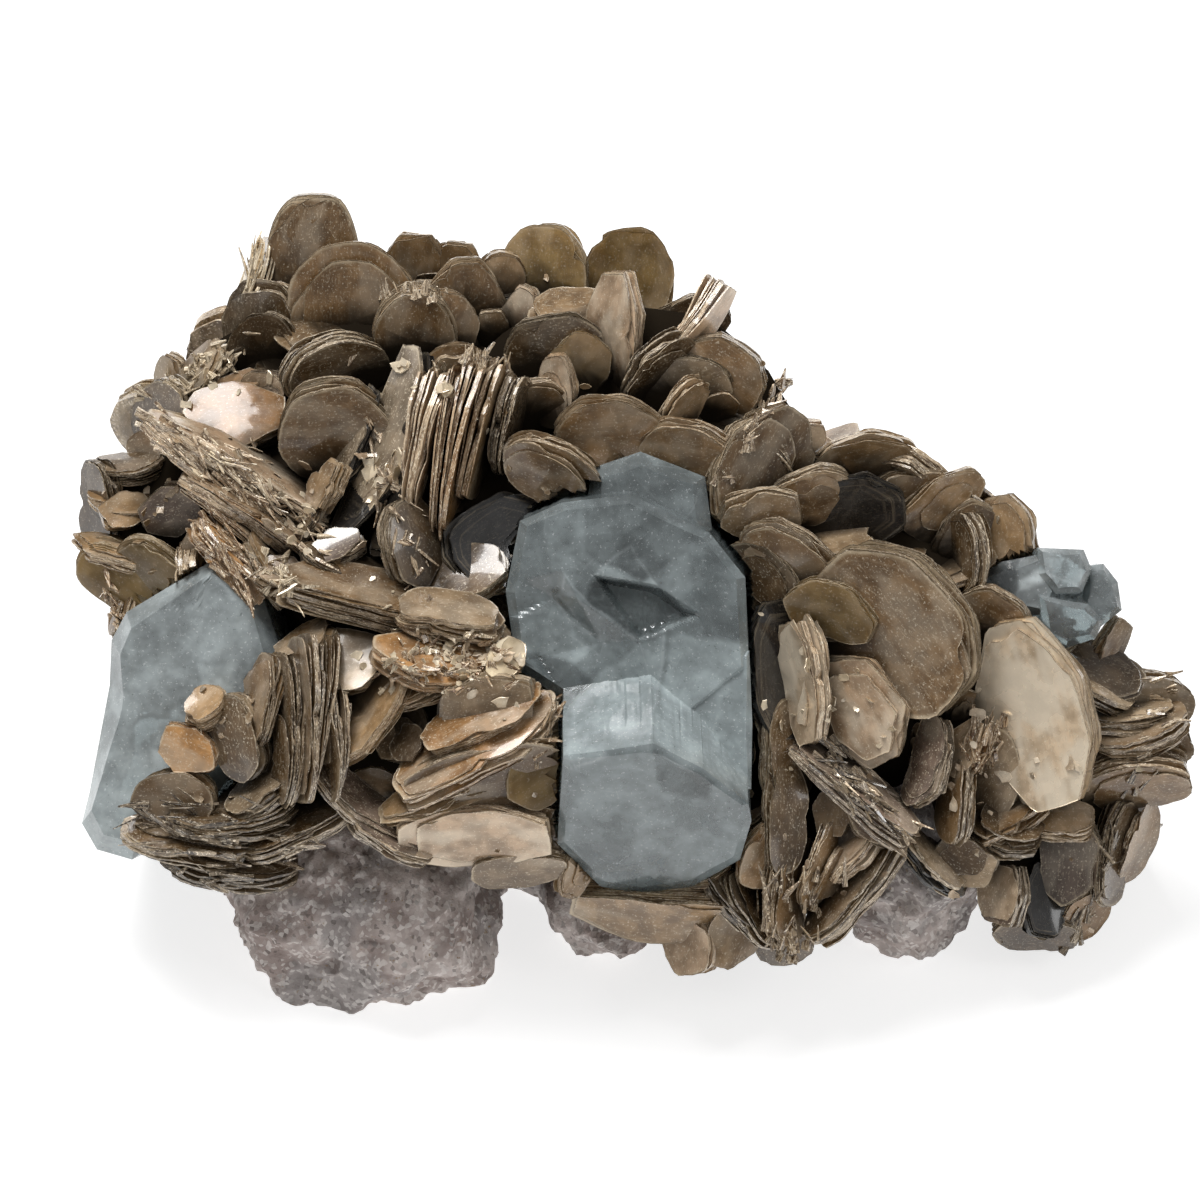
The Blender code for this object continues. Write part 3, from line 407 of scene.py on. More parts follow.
def grain(points, size, seed, layers=3):
    """Noise in layers, each half the size and half the strength of the last."""
    total, strength = 0.0, 1.0
    for layer in range(layers):
        total = total + strength * ripple(points, size / 2 ** layer, seed + 31 * layer)
        strength *= 0.5
    return total


def smooth_share(share):
    """3f^2 - 2f^3 of a share, held between 0 and 1."""
    share = np.clip(share, 0.0, 1.0)
    return share * share * (3.0 - 2.0 * share)


# ------------------------------------------------------------------ mesh building

def ring_faces(rings, around):
    """Triangles of a closed stack of rings, with a pole before the first and after the last."""
    row, col = np.meshgrid(np.arange(rings - 1), np.arange(around), indexing="ij")
    row, col = row.ravel(), col.ravel()
    ahead = (col + 1) % around
    a, b = row * around + col, row * around + ahead
    c, d = b + around, a + around
    walls = np.concatenate((np.stack((a, b, c), 1), np.stack((a, c, d), 1)))
    turn = np.arange(around)
    after = (turn + 1) % around
    first, last = rings * around, rings * around + 1
    low = np.stack((np.full(around, first), after, turn), 1)
    top = (rings - 1) * around
    high = np.stack((np.full(around, last), top + turn, top + after), 1)
    return np.concatenate((walls, low, high))


def with_poles(values, low=0.0, high=0.0):
    """Numbers of all ring points in one row, and those of the two poles."""
    return np.concatenate((np.ravel(values), (low, high)))


class Shell:
    """Points, triangles and point attributes gathered for one piece."""

    def __init__(self):
        self.points, self.faces, self.marks, self.count = [], [], {}, 0

    def add(self, points, faces, **marks):
        """Take in one closed part; each mark is three numbers, for every point or for all."""
        self.points.append(points)
        self.faces.append(faces + self.count)
        for key, value in marks.items():
            value = np.broadcast_to(np.asarray(value, float), (len(points), 3))
            self.marks.setdefault(key, []).append(value)
        self.count += len(points)

    def mesh(self, name, crease=32.0):
        """The mesh of all points and triangles, with the marks as point attributes."""
        points, faces = np.concatenate(self.points), np.concatenate(self.faces)
        mesh = bpy.data.meshes.new(name)
        mesh.vertices.add(len(points))
        mesh.vertices.foreach_set("co", points.ravel())
        mesh.loops.add(faces.size)
        mesh.loops.foreach_set("vertex_index", faces.ravel().astype(np.int32))
        mesh.polygons.add(len(faces))
        mesh.polygons.foreach_set("loop_start", np.arange(0, faces.size, 3, dtype=np.int32))
        mesh.update(calc_edges=True)
        for key, parts in self.marks.items():
            layer = mesh.attributes.new(key, "FLOAT_VECTOR", "POINT")
            layer.data.foreach_set("vector", np.concatenate(parts).ravel().astype(np.float32))
        smooth_but_sharp(mesh, crease)
        return mesh


def smooth_but_sharp(mesh, crease):
    """Shade a mesh smooth, except over edges sharper than the crease in degrees."""
    mesh.polygons.foreach_set("use_smooth", np.ones(len(mesh.polygons), dtype=bool))
    mesh.set_sharp_from_angle(angle=math.radians(crease))


def place_piece(name, mesh, material, slot, *nodes):
    """Link a finished mesh, ride it on the one body and hide the solids it stands for."""
    obj = bpy.data.objects.new(name, mesh)
    bpy.context.scene.collection.objects.link(obj)
    mesh.materials.append(material)
    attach(obj, "root")
    if nodes:
        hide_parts(*nodes)


# ------------------------------------------------------------------ mica books

def polygon_reach(corners, middle, angle):
    """Distance from the middle to a convex polygon's edge along each direction."""
    spokes = corners - middle
    bearing = np.arctan2(spokes[:, 1], spokes[:, 0])
    order = np.argsort(bearing)
    spokes, bearing = spokes[order], bearing[order]
    slot = np.searchsorted(bearing, angle, side="right") - 1
    start, side = spokes[slot], spokes[(slot + 1) % len(spokes)] - spokes[slot]
    cross = start[:, 0] * side[:, 1] - start[:, 1] * side[:, 0]
    return cross / (np.cos(angle) * side[:, 1] - np.sin(angle) * side[:, 0])


BOOK_CORNERS = ((85, 6), (125, 7), (math.inf, 8))  # corners of books up to a length
SLENDER = 1.7                                    # length over width from which a book is a blade
BLADE_POWER, DISC_POWER = 2.8, 2.2               # superellipses of their outlines


def book_radius(length, width, seed, angle, roundness):
    """Outline radius along each direction.

    A blend of an irregular polygon, whose corners lie on a superellipse stretched by up to an
    eighth, with that superellipse: r = (1 - k) polygon + k ellipse.
    """
    chance = np.random.RandomState(seed)
    count = next(corners for limit, corners in BOOK_CORNERS if length < limit)
    power = BLADE_POWER if length >= SLENDER * width else DISC_POWER
    corners = []
    for k in range(count):
        turn = 2 * math.pi * (k + 0.5 + chance.uniform(-0.22, 0.22)) / count
        x, y = math.cos(turn), math.sin(turn)
        reach = (abs(x) ** power + abs(y) ** power) ** (-1.0 / power) * chance.uniform(1.0, 1.12)
        corners.append((0.5 * length * reach * x, 0.5 * width * reach * y))
    polygon = polygon_reach(np.array(corners), 0.0, angle)
    ellipse = (np.abs(2 * np.cos(angle) / length) ** power
               + np.abs(2 * np.sin(angle) / width) ** power) ** (-1.0 / power) * 1.02
    return (1.0 - roundness) * polygon + roundness * ellipse


def window(angle, centre, spread):
    """A smooth bump round the rim: exp(-(turn / spread)^2)."""
    turn = np.angle(np.exp(1j * (angle - centre)))
    return np.exp(-(turn / spread) ** 2)


def leaf_rings(radius, angle, thick, chance, ragged):
    """Six rings of one thin sheet: radii, heights and how far each counts as torn edge.

    The outline is drawn in by waves, chips, torn points and one to three missing pieces.
    """
    waves = sum(chance.uniform(0.1, 0.6) * np.cos((2 + 3 * j) * angle + chance.uniform(0, 6.3))
                for j in range(3))
    inset = chance.uniform(0.0, 0.8 * ragged) + waves + chance.uniform(0.0, ragged, len(angle))
    for _ in range(chance.randint(1, 4)):
        bite = chance.uniform(1.0, (0.14 + 0.08 * ragged) * radius.min() + 2)
        inset = inset + bite * window(angle, chance.uniform(-3.1, 3.1), chance.uniform(0.08, 0.50))
    reach = np.clip(radius - inset, 0.4 * radius, None)
    half = 0.5 * thick
    rings = np.array((0.5 * reach, reach - 0.25, reach, reach - 1.0, 0.80 * reach, 0.40 * reach))
    heights = np.array((-half, -half, half, half, half, half))
    return rings, heights, np.array((0.0, 1.0, 1.0, 0.0, 0.0, 0.0))


def turned(points, about_x, about_y, about_z):
    """Points turned by three small angles, one about each axis."""
    cx, sx, cy, sy = math.cos(about_x), math.sin(about_x), math.cos(about_y), math.sin(about_y)
    cz, sz = math.cos(about_z), math.sin(about_z)
    spin_x = np.array(((1, 0, 0), (0, cx, sx), (0, -sx, cx)))
    spin_y = np.array(((cy, 0, -sy), (0, 1, 0), (sy, 0, cy)))
    spin_z = np.array(((cz, sz, 0), (-sz, cz, 0), (0, 0, 1)))
    return points @ spin_x @ spin_y @ spin_z


ON_EDGE = 42                                     # lean in degrees from which a book shows its edge
FLAT_SHEET, EDGE_SHEET = 3.6, 2.9                # usual thickness of a sheet, lying flat and on edge
SHEETS = (3, 9)                                  # fewest and most sheets in a book
AROUND = (22, 50)                                # fewest and most points round a sheet
STRAY_SHEET = 0.16                               # share of sheets with a touch of another brown
STRAY_TONE = (0.46, 0.37, 0.28)


def book_leaves(row, seed, fineness):
    """Points, triangles and marks of each sheet of one book of mica.

    The book's thickness is shared out among thin sheets of the same outline.  Each is slipped,
    turned and tilted a little, the tilt growing through the book where it stands on edge, and all
    are curled alike: z = z + curl x^2 + dish y^2.  A sheet's rim lifts off its neighbour along one
    stretch by lift * exp(-(turn / spread)^2) * rim^3.
    """
    _, _, _, length, width, thick, _, _, lean, tone = row
    chance = np.random.RandomState(seed + 7000)
    on_edge = lean > ON_EDGE
    around = int(np.clip((length + width) * 0.25 * fineness, *AROUND))
    turn = 2 * np.pi * np.arange(around) / around
    angle = np.sort(np.arctan2(0.5 * width * np.sin(turn), 0.5 * length * np.cos(turn)))
    roundness = chance.uniform(0.30, 0.75) if tone in ROUND_TONES else chance.uniform(0.0, 0.35)
    radius = book_radius(length, width, seed, angle, roundness)
    sheet = EDGE_SHEET if on_edge else FLAT_SHEET
    count = int(np.clip(round(thick * fineness / sheet), *SHEETS))
    share = 0.25 + chance.exponential(1.0, count)
    share *= thick / share.sum()
    levels = np.cumsum(share) - 0.5 * share - 0.5 * thick
    curl = chance.uniform(-0.07, 0.07) * length
    dish = chance.uniform(-0.07, 0.07) * width
    fan = chance.uniform(-0.02, 0.14) if on_edge else chance.uniform(-0.02, 0.04)
    face_tone, gleam, clear = TONES[tone]
    lifted, spread = chance.uniform(-3.1, 3.1), chance.uniform(0.3, 0.9)
    book_shade = chance.uniform(0.95, 1.2) if gleam > 0.3 else chance.uniform(0.68, 1.25)
    slack, ragged = (1.0, 2.0) if on_edge else (0.45, 0.8)
    for k in range(count):
        place = 2.0 * levels[k] / thick
        size = 1.0 - slack * (chance.uniform(0.0, 0.08) + 0.08 * place * place * chance.rand())
        if k > count - 3 and chance.rand() < 0.22:
            size *= chance.uniform(0.6, 0.9)
        rings, heights, sides = leaf_rings(radius * size, angle, 0.80 * share[k], chance, ragged)
        rim = rings / (radius * size)
        high = np.repeat(heights[:, None], around, 1)
        lift = chance.normal() * 1.3 + 2.2 * place * chance.rand()
        high = high + lift * window(angle, lifted + chance.normal() * 0.4, spread) * rim ** 3
        flat = np.stack((rings * np.cos(angle), rings * np.sin(angle), high), -1).reshape(-1, 3)
        flat = np.concatenate((flat, ((0, 0, heights[0]), (0, 0, heights[-1]))))
        rim, side = with_poles(rim), with_poles(np.repeat(sides, around))
        bent = turned(flat, chance.normal() * 0.020 * slack,
                      -fan * place + chance.normal() * 0.016 * slack,
                      chance.uniform(-0.10, 0.10) * min(1.0, 1.4 * width / length))
        slip = (1.0 - size) * 0.5
        bent[:, 0] += chance.uniform(-slip, slip) * length + fan * abs(place) * 0.2 * length
        bent[:, 1] += chance.uniform(-slip, slip) * width
        bent[:, 2] += levels[k]
        x, y = bent[:, 0] / (0.5 * length), bent[:, 1] / (0.5 * width)
        bent[:, 2] += curl * (x * x - 0.4) + dish * (y * y - 0.4)
        bent[:, 2] += 1.1 * ripple(np.stack((bent[:, 0], bent[:, 1], 0 * x + seed), 1), 22.0, seed)
        shade = book_shade * chance.uniform(0.80, 1.20)
        hue = np.array(face_tone) ** 2.2
        if chance.rand() < STRAY_SHEET:
            hue = 0.5 * hue + 0.5 * np.array(STRAY_TONE)
        apart = np.array((9.0 * k, 5.0 * k, levels[k] * UNIT / MM + seed * 1.7))
        marks = dict(book=flat * (UNIT / MM) + apart,
                     form=np.stack((rim, side, np.full(len(flat), chance.rand())), 1),
                     tone=hue * shade, shine=np.array((gleam, clear, 0.0)))
        yield bent, ring_faces(len(rings), around), marks


ROOT_SHADE_TIP_LIGHT = 0.55                               # how strongly painted shade darkens the root and painted light brightens the tip


def add_book(shell, face, row, seed, fineness):
    """Set one book in its place on a side of the mound, clear of the crystals.

    Its sheets are painted with shade at the root and light at the tip: tone * (1 + 0.55 lift / half
    length).
    """
    u, v, rise, length, _, _, along, lean_to, lean, _ = row
    place = to_world(face, u, v, swell(face, u, v) + rise)
    axes = plate_axes(face, along, lean_to, lean)
    for bent, faces, marks in book_leaves(row, seed, fineness):
        away = bent @ axes
        lift = away @ face["out"] / (0.5 * length)
        # painted shade towards the root and painted light towards the tip of each book
        marks["tone"] = marks["tone"] * np.clip(1.0 + ROOT_SHADE_TIP_LIGHT * lift, 0.45, 1.40)[:, None]
        shell.add(clear_of_crystals(place + away * UNIT, place), faces, **marks)


# ------------------------------------------------------------------ lumps

def ball_grid(around, rings):
    """Unit directions of a ring-by-ring ball without its poles, and the two poles."""
    turn = 2 * np.pi * np.arange(around) / around
    fall = np.pi * (np.arange(rings) + 1.0) / (rings + 1.0)
    fall = fall[::-1]
    ways = np.stack((np.outer(np.sin(fall), np.cos(turn)), np.outer(np.sin(fall), np.sin(turn)),
                     np.outer(np.cos(fall), np.ones(around))), -1).reshape(-1, 3)
    return np.concatenate((ways, ((0, 0, -1.0), (0, 0, 1.0)))), ring_faces(rings, around)


def onto_foot(points, centre, level):
    """Points under a level drawn along their way to the centre until they lie on it."""
    fall = np.minimum(points[:, 2] - centre[2], -1e-9)
    drop = np.where(points[:, 2] < level, (level - centre[2]) / fall, 1.0)
    return centre + (points - centre) * drop[:, None]


HEART_TONE = (0.130, 0.095, 0.062)
HEART_LEAST_SHADE = 0.6                                # least painted shade on a heart, where the front hides it
HEART_FOOT = 0.0009                              # metres over the floor at which hearts are cut flat


def add_heart(shell, face, spec):
    """The filled middle of a rosette: a ball stretched along the side's axes, ribbed by its sheets.

    It is painted in full shade where it faces the front side and in part of that shade behind.
    """
    u, v, rise, ru, rv, rh = spec
    ways, faces = ball_grid(48, 26)
    place = to_world(face, u, v, swell(face, u, v) + rise)
    axes = np.array((face["right"] * ru, face["up"] * rv, face["out"] * rh)) * UNIT
    ribs = ripple((ways @ axes) / MM * (0.12, 0.12, 0.9), 1.0, 77)
    reach = 0.97 + 0.05 * grain(ways * 3.0, 1.0, 5) + 0.02 * ribs
    points = place + (ways * reach[:, None]) @ axes
    points = clear_of_crystals(onto_foot(points, place, HEART_FOOT))
    facing = ways @ (axes / (axes * axes).sum(axis=1)[:, None])
    facing = (facing @ FRONT["out"]) / np.linalg.norm(facing, axis=1)
    # painted shade on the heart: full where it faces the front side, less behind it
    painted_shade = np.clip(facing / 0.3 + 0.5, HEART_LEAST_SHADE, 1.0)
    marks = dict(book=points / MM, form=np.array((0.8, 1.0, 0.5)),
                 tone=np.array(HEART_TONE) * (1.0 + 0.5 * ribs)[:, None],
                 shine=np.stack((0.0 * painted_shade, 0.0 * painted_shade, painted_shade), 1))
    shell.add(points, faces, **marks)


# Rock lumps: centre and half sizes in mm, ring and turn counts, seed
LUMPS = (
    (-10.0, 4.0, 4.0, 42.0, 32.0, 24.0, 70, 140, 3),
    (-29.5, -20.0, 5.0, 18.0, 21.0, 18.5, 124, 200, 8),
    (0.0, -19.0, 3.0, 8.0, 15.5, 8.5, 60, 90, 5),
    (38.5, -20.5, 8.0, 10.0, 13.5, 12.0, 90, 130, 11),
    (24.0, 2.0, 3.0, 26.0, 20.0, 20.0, 60, 110, 19),
)


FRACTURES = 34                                   # fracture planes round each lump
BLOCKINESS = 2.7                                 # power of the lumps' superellipsoid
ROCK_CREASE = 50.0                               # degrees over which an edge of the rock is sharp


def rock_reach(ways, seed):
    """Nearest of random fracture planes along each direction, times a blocky superellipsoid."""
    chance = np.random.RandomState(seed)
    planes = chance.normal(size=(FRACTURES, 3))
    planes /= np.linalg.norm(planes, axis=1)[:, None]
    depth = chance.uniform(0.86, 1.0, size=FRACTURES)
    facing = ways @ planes.T
    reach = np.where(facing > 0.2, depth / np.maximum(facing, 0.2), 9.0).min(axis=1)
    blocky = (np.abs(ways) ** BLOCKINESS).sum(axis=1) ** (-1.0 / BLOCKINESS)
    return np.minimum(reach, 1.12) * blocky


def rock_shell():
    """All rock lumps, roughened with grains and pits and cut flat at the foot."""
    shell = Shell()
    for x, y, z, rx, ry, rz, rings, around, seed in LUMPS:
        ways, faces = ball_grid(around, rings)
        points = ways * rock_reach(ways, seed)[:, None] * np.array((rx, ry, rz)) + np.array((x, y, z))
        rough = 0.85 * grain(points, 4.2, seed, 2) + 0.70 * grain(points, 1.5, seed + 9, 2)
        pits = np.clip(ripple(points, 2.4, seed + 50) - 0.35, 0.0, 1.0)
        points = points + ways * (rough - 1.6 * pits - 0.2)[:, None]
        points = onto_foot(points, np.array((x, y, z)), 0.0) * MM + SHIFT
        shell.add(points, faces)
    return shell


# ------------------------------------------------------------------ flakes and splinters

FLAKE_CORNERS = 9
SPLINTER_STATIONS = 5
THINNEST = 0.25                                  # half thickness of the thinnest sliver


def add_flake(shell, place, axes, size, tone, gleam, chance):
    """A thin chip of mica: an irregular plate of two rings, closed by its poles."""
    around = FLAKE_CORNERS
    turn = 2 * np.pi * (np.arange(around) + chance.uniform(-0.25, 0.25, around)) / around
    radius = size * chance.uniform(0.55, 1.1, around)
    thick = 0.02 * size + THINNEST
    low = np.stack((radius * np.cos(turn), 0.7 * radius * np.sin(turn), np.full(around, -thick)), 1)
    high = low * np.array((0.93, 0.93, -1.0))
    flat = np.concatenate((low, high, ((0, 0, -thick), (0, 0, thick))))
    bent = flat.copy()
    bent[:, 2] += chance.uniform(-0.35, 0.35) * flat[:, 0] ** 2 / size
    rim, side = with_poles(np.full(2 * around, 0.95)), with_poles(np.full(2 * around, 0.4))
    marks = dict(book=flat * (UNIT / MM) + chance.uniform(0, 90, 3),
                 form=np.stack((rim, side, 0.0 * rim + chance.rand()), 1),
                 tone=np.array(tone) ** 2.2 * chance.uniform(0.7, 1.15),
                 shine=np.array((gleam, 0.1, 0.0)))
    shell.add(place + bent @ axes * UNIT, ring_faces(2, around), **marks)


def add_splinter(shell, root, way, normal, length, wide, tone, gleam, chance):
    """A torn sliver: a flat strip of a few stations that tapers and bends, closed at both ends."""
    count = SPLINTER_STATIONS
    stations = np.linspace(0.0, 1.0, count)
    taper = wide * (1.0 - 0.75 * stations ** chance.uniform(0.8, 2.0)) * chance.uniform(0.8, 1.2, count)
    bend = chance.uniform(-0.2, 0.2) * length * stations ** 2
    sway = chance.uniform(-0.12, 0.12) * length * stations ** 2
    corners = np.array(((-1, -1), (1, -1), (1, 1), (-1, 1)), float)
    thin = 0.22 * taper + THINNEST
    rings = np.stack((corners[None, :, 0] * taper[:, None] * 0.5 + sway[:, None],
                      corners[None, :, 1] * thin[:, None] + bend[:, None],
                      np.broadcast_to((stations * length)[:, None], (count, 4))), -1).reshape(-1, 3)
    poles = np.array(((0.0, 0.0, -0.5), (sway[-1], bend[-1], length + 0.6)))
    flat = np.concatenate((rings, poles))
    across = unit(np.cross(normal, way))
    axes = np.array((across, np.cross(way, across), way))
    marks = dict(book=flat[:, (2, 1, 0)] * (UNIT / MM) + chance.uniform(0, 90, 3),
                 form=np.array((0.9, 1.0, chance.rand())),
                 tone=np.array(tone) ** 2.2 * chance.uniform(0.7, 1.2),
                 shine=np.array((gleam, 0.0, 0.0)))
    shell.add(root + flat @ axes * UNIT, ring_faces(count, 4), **marks)


# ------------------------------------------------------------------ painted shade in the gaps between the books

# Sides the growth is looked at from: azimuth and slope in degrees
LOOKS = ((0, 50), (0, 10), (55, 25), (-55, 25), (180, 15), (150, 35), (272, 20), (90, 15))
LOOK_CELL = 8.0                                  # size of a cell of the cover grid
LOOK_CELLS = 4                                   # neighbours averaged on every side
DEEPEST = 40.0                                   # depth under the cover at which the painted shade is full


def neighbours_mean(grid, known, reach):
    """Mean of the known cells round each cell of a grid."""
    total, weight = np.zeros_like(grid), np.zeros_like(grid)
    for across in range(-reach, reach + 1):
        for along in range(-reach, reach + 1):
            if across * across + along * along <= reach * reach + 1:
                total += np.roll(grid * known, (across, along), (0, 1))
                weight += np.roll(known.astype(float), (across, along), (0, 1))
    return total / np.maximum(weight, 1.0)


def painted_gap_shade(points):
    """Painted shade of points by how deep they lie in the gaps between the books: 0 in the open, 1 at
    the bottom of a gap.

    From each side the outermost point over every cell of a grid is found and averaged over its
    neighbours.  A point's depth below that cover, the least over all sides, is smoothed by
    3f^2 - 2f^3 of depth / deepest.
    """
    least = np.full(len(points), np.inf)
    for azimuth, slope in LOOKS:
        view = face_axes(azimuth, slope, (0, 0, 0), None)
        spot = points @ np.array((view["right"], view["up"], view["out"])).T / UNIT
        cell = np.floor(spot[:, :2] / LOOK_CELL).astype(int)
        cell -= cell.min(axis=0) - LOOK_CELLS
        cover = np.full(cell.max(axis=0) + LOOK_CELLS + 1, -1e6)
        np.maximum.at(cover, (cell[:, 0], cell[:, 1]), spot[:, 2])
        mean = neighbours_mean(cover, cover > -1e5, LOOK_CELLS)
        least = np.minimum(least, mean[cell[:, 0], cell[:, 1]] - spot[:, 2])
    return smooth_share(least / DEEPEST)


def paint_gap_shade(shells):
    """Give every shell's points their painted gap shade in the third number of the mark that also
    carries gleam and clearness.
    """
    deep = painted_gap_shade(np.concatenate([np.concatenate(s.points) for s in shells]))
    start = 0
    for shell in shells:
        shine = np.concatenate(shell.marks["shine"]).copy()
        shine[:, 2] = np.maximum(shine[:, 2], deep[start:start + len(shine)])
        shell.marks["shine"] = [shine]
        start += len(shine)


# ------------------------------------------------------------------ aquamarine crystals

def prism(outline, axis, length, slope, base, bevel, drop, taper=1.0):
    """One crystal prism.

    outline: (u, v) corners of its end face; axis, length: its way back into the rock; slope, base:
    tilt and height of the end face; bevel, drop: width and fall of the bevel round it; taper: how
    wide its buried end is.
    """
    return dict(outline=np.array(outline, float), axis=unit(np.array(axis, float)), length=length,
                slope=slope, base=base, bevel=bevel, drop=drop, taper=taper)


UPPER = prism(((-93, 8), (-79, 78), (-38, 96), (30, 104), (108, 66), (143, 22), (147, -70),
               (92, -116), (-22, -108), (-82, -68)),
              (0.05, 0.12, -1.0), 175, (0.10, 0.10), 176, bevel=9, drop=11, taper=0.95)
TOP = prism(((-10, 130), (40, 147), (104, 122), (112, 60), (40, 10), (-15, 40)),
            (0.0, -0.3, -1.0), 150, (0.0, -0.25), 132, bevel=14, drop=12, taper=0.95)
LOWER = prism(((-36, -152), (6, -147), (52, -140), (101, -165), (146, -200), (149, -217),
               (138, -256), (92, -283), (40, -291), (0, -283), (-42, -240)),
              (-0.02, 0.62, -0.78), 250, (0.02, 0.90), 194, bevel=7, drop=5, taper=0.96)
SHOULDER = prism(((38, -55), (147, -50), (150, -120), (149, -186), (118, -190), (62, -150)),
                 (0.0, 0.05, -1.0), 120, (0.10, 0.06), 171, bevel=6, drop=5, taper=0.98)
LEFT = prism(((-378, 43), (-338, 15), (-316, -50), (-338, -140), (-395, -210), (-465, -258),
              (-500, -248), (-515, -222), (-507, -190), (-487, -85), (-485, -40), (-470, -12)),
             (0.25, 0.05, -1.0), 150, (0.12, 0.05), 104, bevel=17, drop=22, taper=0.92)
CLUSTER = (
    prism(((374, 22), (400, 38), (440, 46), (462, 20), (448, -16), (385, -12)),
          (-0.2, 0.0, -1.0), 95, (0.15, 0.0), 86, bevel=9, drop=9),
    prism(((434, 52), (480, 50), (488, 30), (478, 8), (452, 6), (436, 26)),
          (-0.2, -0.2, -1.0), 80, (0.0, -0.2), 98, bevel=6, drop=8),
    prism(((484, 34), (500, 36), (514, 18), (518, -10), (498, -26), (478, -10)),
          (-0.3, 0.0, -1.0), 80, (0.25, 0.0), 84, bevel=6, drop=8),
    prism(((436, 4), (484, -4), (500, -20), (492, -38), (462, -48), (440, -34)),
          (-0.2, 0.3, -1.0), 80, (0.0, 0.3), 94, bevel=7, drop=8),
)

# Etched relief of the end faces: corner points u, v and height over the plain face, and the edges
# of facets between them
UPPER_RELIEF = (
    ((-40, 58, 5), (-38, 30, 8), (-23, 2, 8), (40, -40, 7), (-47, 2, -5), (0, -42, -5),
     (-84, -15, -4), (-8, 25, 5), (55, 15, 5), (100, -15, 3), (6, 17, -11), (52, 7, -12),
     (82, -14, -8), (40, -31, -4), (0, 65, 8), (25, 65, 9), (40, 42, 5), (2, 34, 6), (-60, -58, -12),
     (70, 60, 0), (115, 20, 0), (120, -50, 0), (60, -80, 0), (10, -85, -3), (-62, 62, 0), (-75, 20, 1)),
    ((0, 1), (1, 2), (2, 3), (4, 5), (4, 6), (7, 8), (8, 9), (9, 3), (3, 7), (10, 11), (11, 12),
     (12, 13), (13, 10), (14, 15), (15, 16), (16, 17), (17, 14)),
)
LOWER_RELIEF = (
    ((52, -150, 2), (20, -190, -2), (95, -180, -3), (60, -215, 3), (100, -235, -3), (10, -240, 2),
     (50, -260, -2), (-20, -200, 1)),
    ((0, 3), (3, 4), (3, 5), (5, 6)),
)
LEFT_RELIEF = (
    ((-400, 25, 3), (-395, -20, -3), (-350, 0, 2), (-365, -25, 3), (-430, -60, 0), (-400, -110, 2),
     (-460, -150, -2), (-440, -200, 2), (-480, -200, 0)),
    ((0, 1), (1, 3), (3, 2), (1, 5)),
)
FLAT_RELIEF = (((0, 0, 0.0),), ())


def relief_height(relief, u, v, rim_u, rim_v):
    """Height over the plain end face: straight-line filling between the relief's corner points."""
    points, edges = relief
    lie = [(p[0], p[1]) for p in points]
    lie += list(zip(rim_u, rim_v))
    heights = [p[2] for p in points] + [0.0] * len(rim_u)
    flat, _, faces, sources, _, _ = delaunay_2d_cdt([Vector(p) for p in lie], list(edges), [], 0, 0.01)
    tall = [heights[s[0]] if s else 0.0 for s in sources]
    total = np.zeros_like(u)
    for face in faces:
        (au, av), (bu, bv), (cu, cv) = (tuple(flat[k]) for k in face[:3])
        area = (bu - au) * (cv - av) - (cu - au) * (bv - av)
        if abs(area) < 1e-6:
            continue
        wb = ((u - au) * (cv - av) - (cu - au) * (v - av)) / area
        wc = ((bu - au) * (v - av) - (u - au) * (bv - av)) / area
        inside = (wb >= -1e-6) & (wc >= -1e-6) & (wb + wc <= 1.000001)
        value = tall[face[0]] * (1 - wb - wc) + tall[face[1]] * wb + tall[face[2]] * wc
        total = np.where(inside, value, total)
    return total


SIDE_RINGS = 26                                  # steps along a crystal's sides
FACET_CREASE = 14.0                              # degrees over which a crystal's edge is sharp


def end_height(spec, at):
    """Height of a crystal's plain end face at points u, v: base + slope . (point - middle)."""
    middle = spec["outline"].mean(axis=0)
    su, sv = spec["slope"]
    return spec["base"] + su * (at[:, 0] - middle[0]) + sv * (at[:, 1] - middle[1])


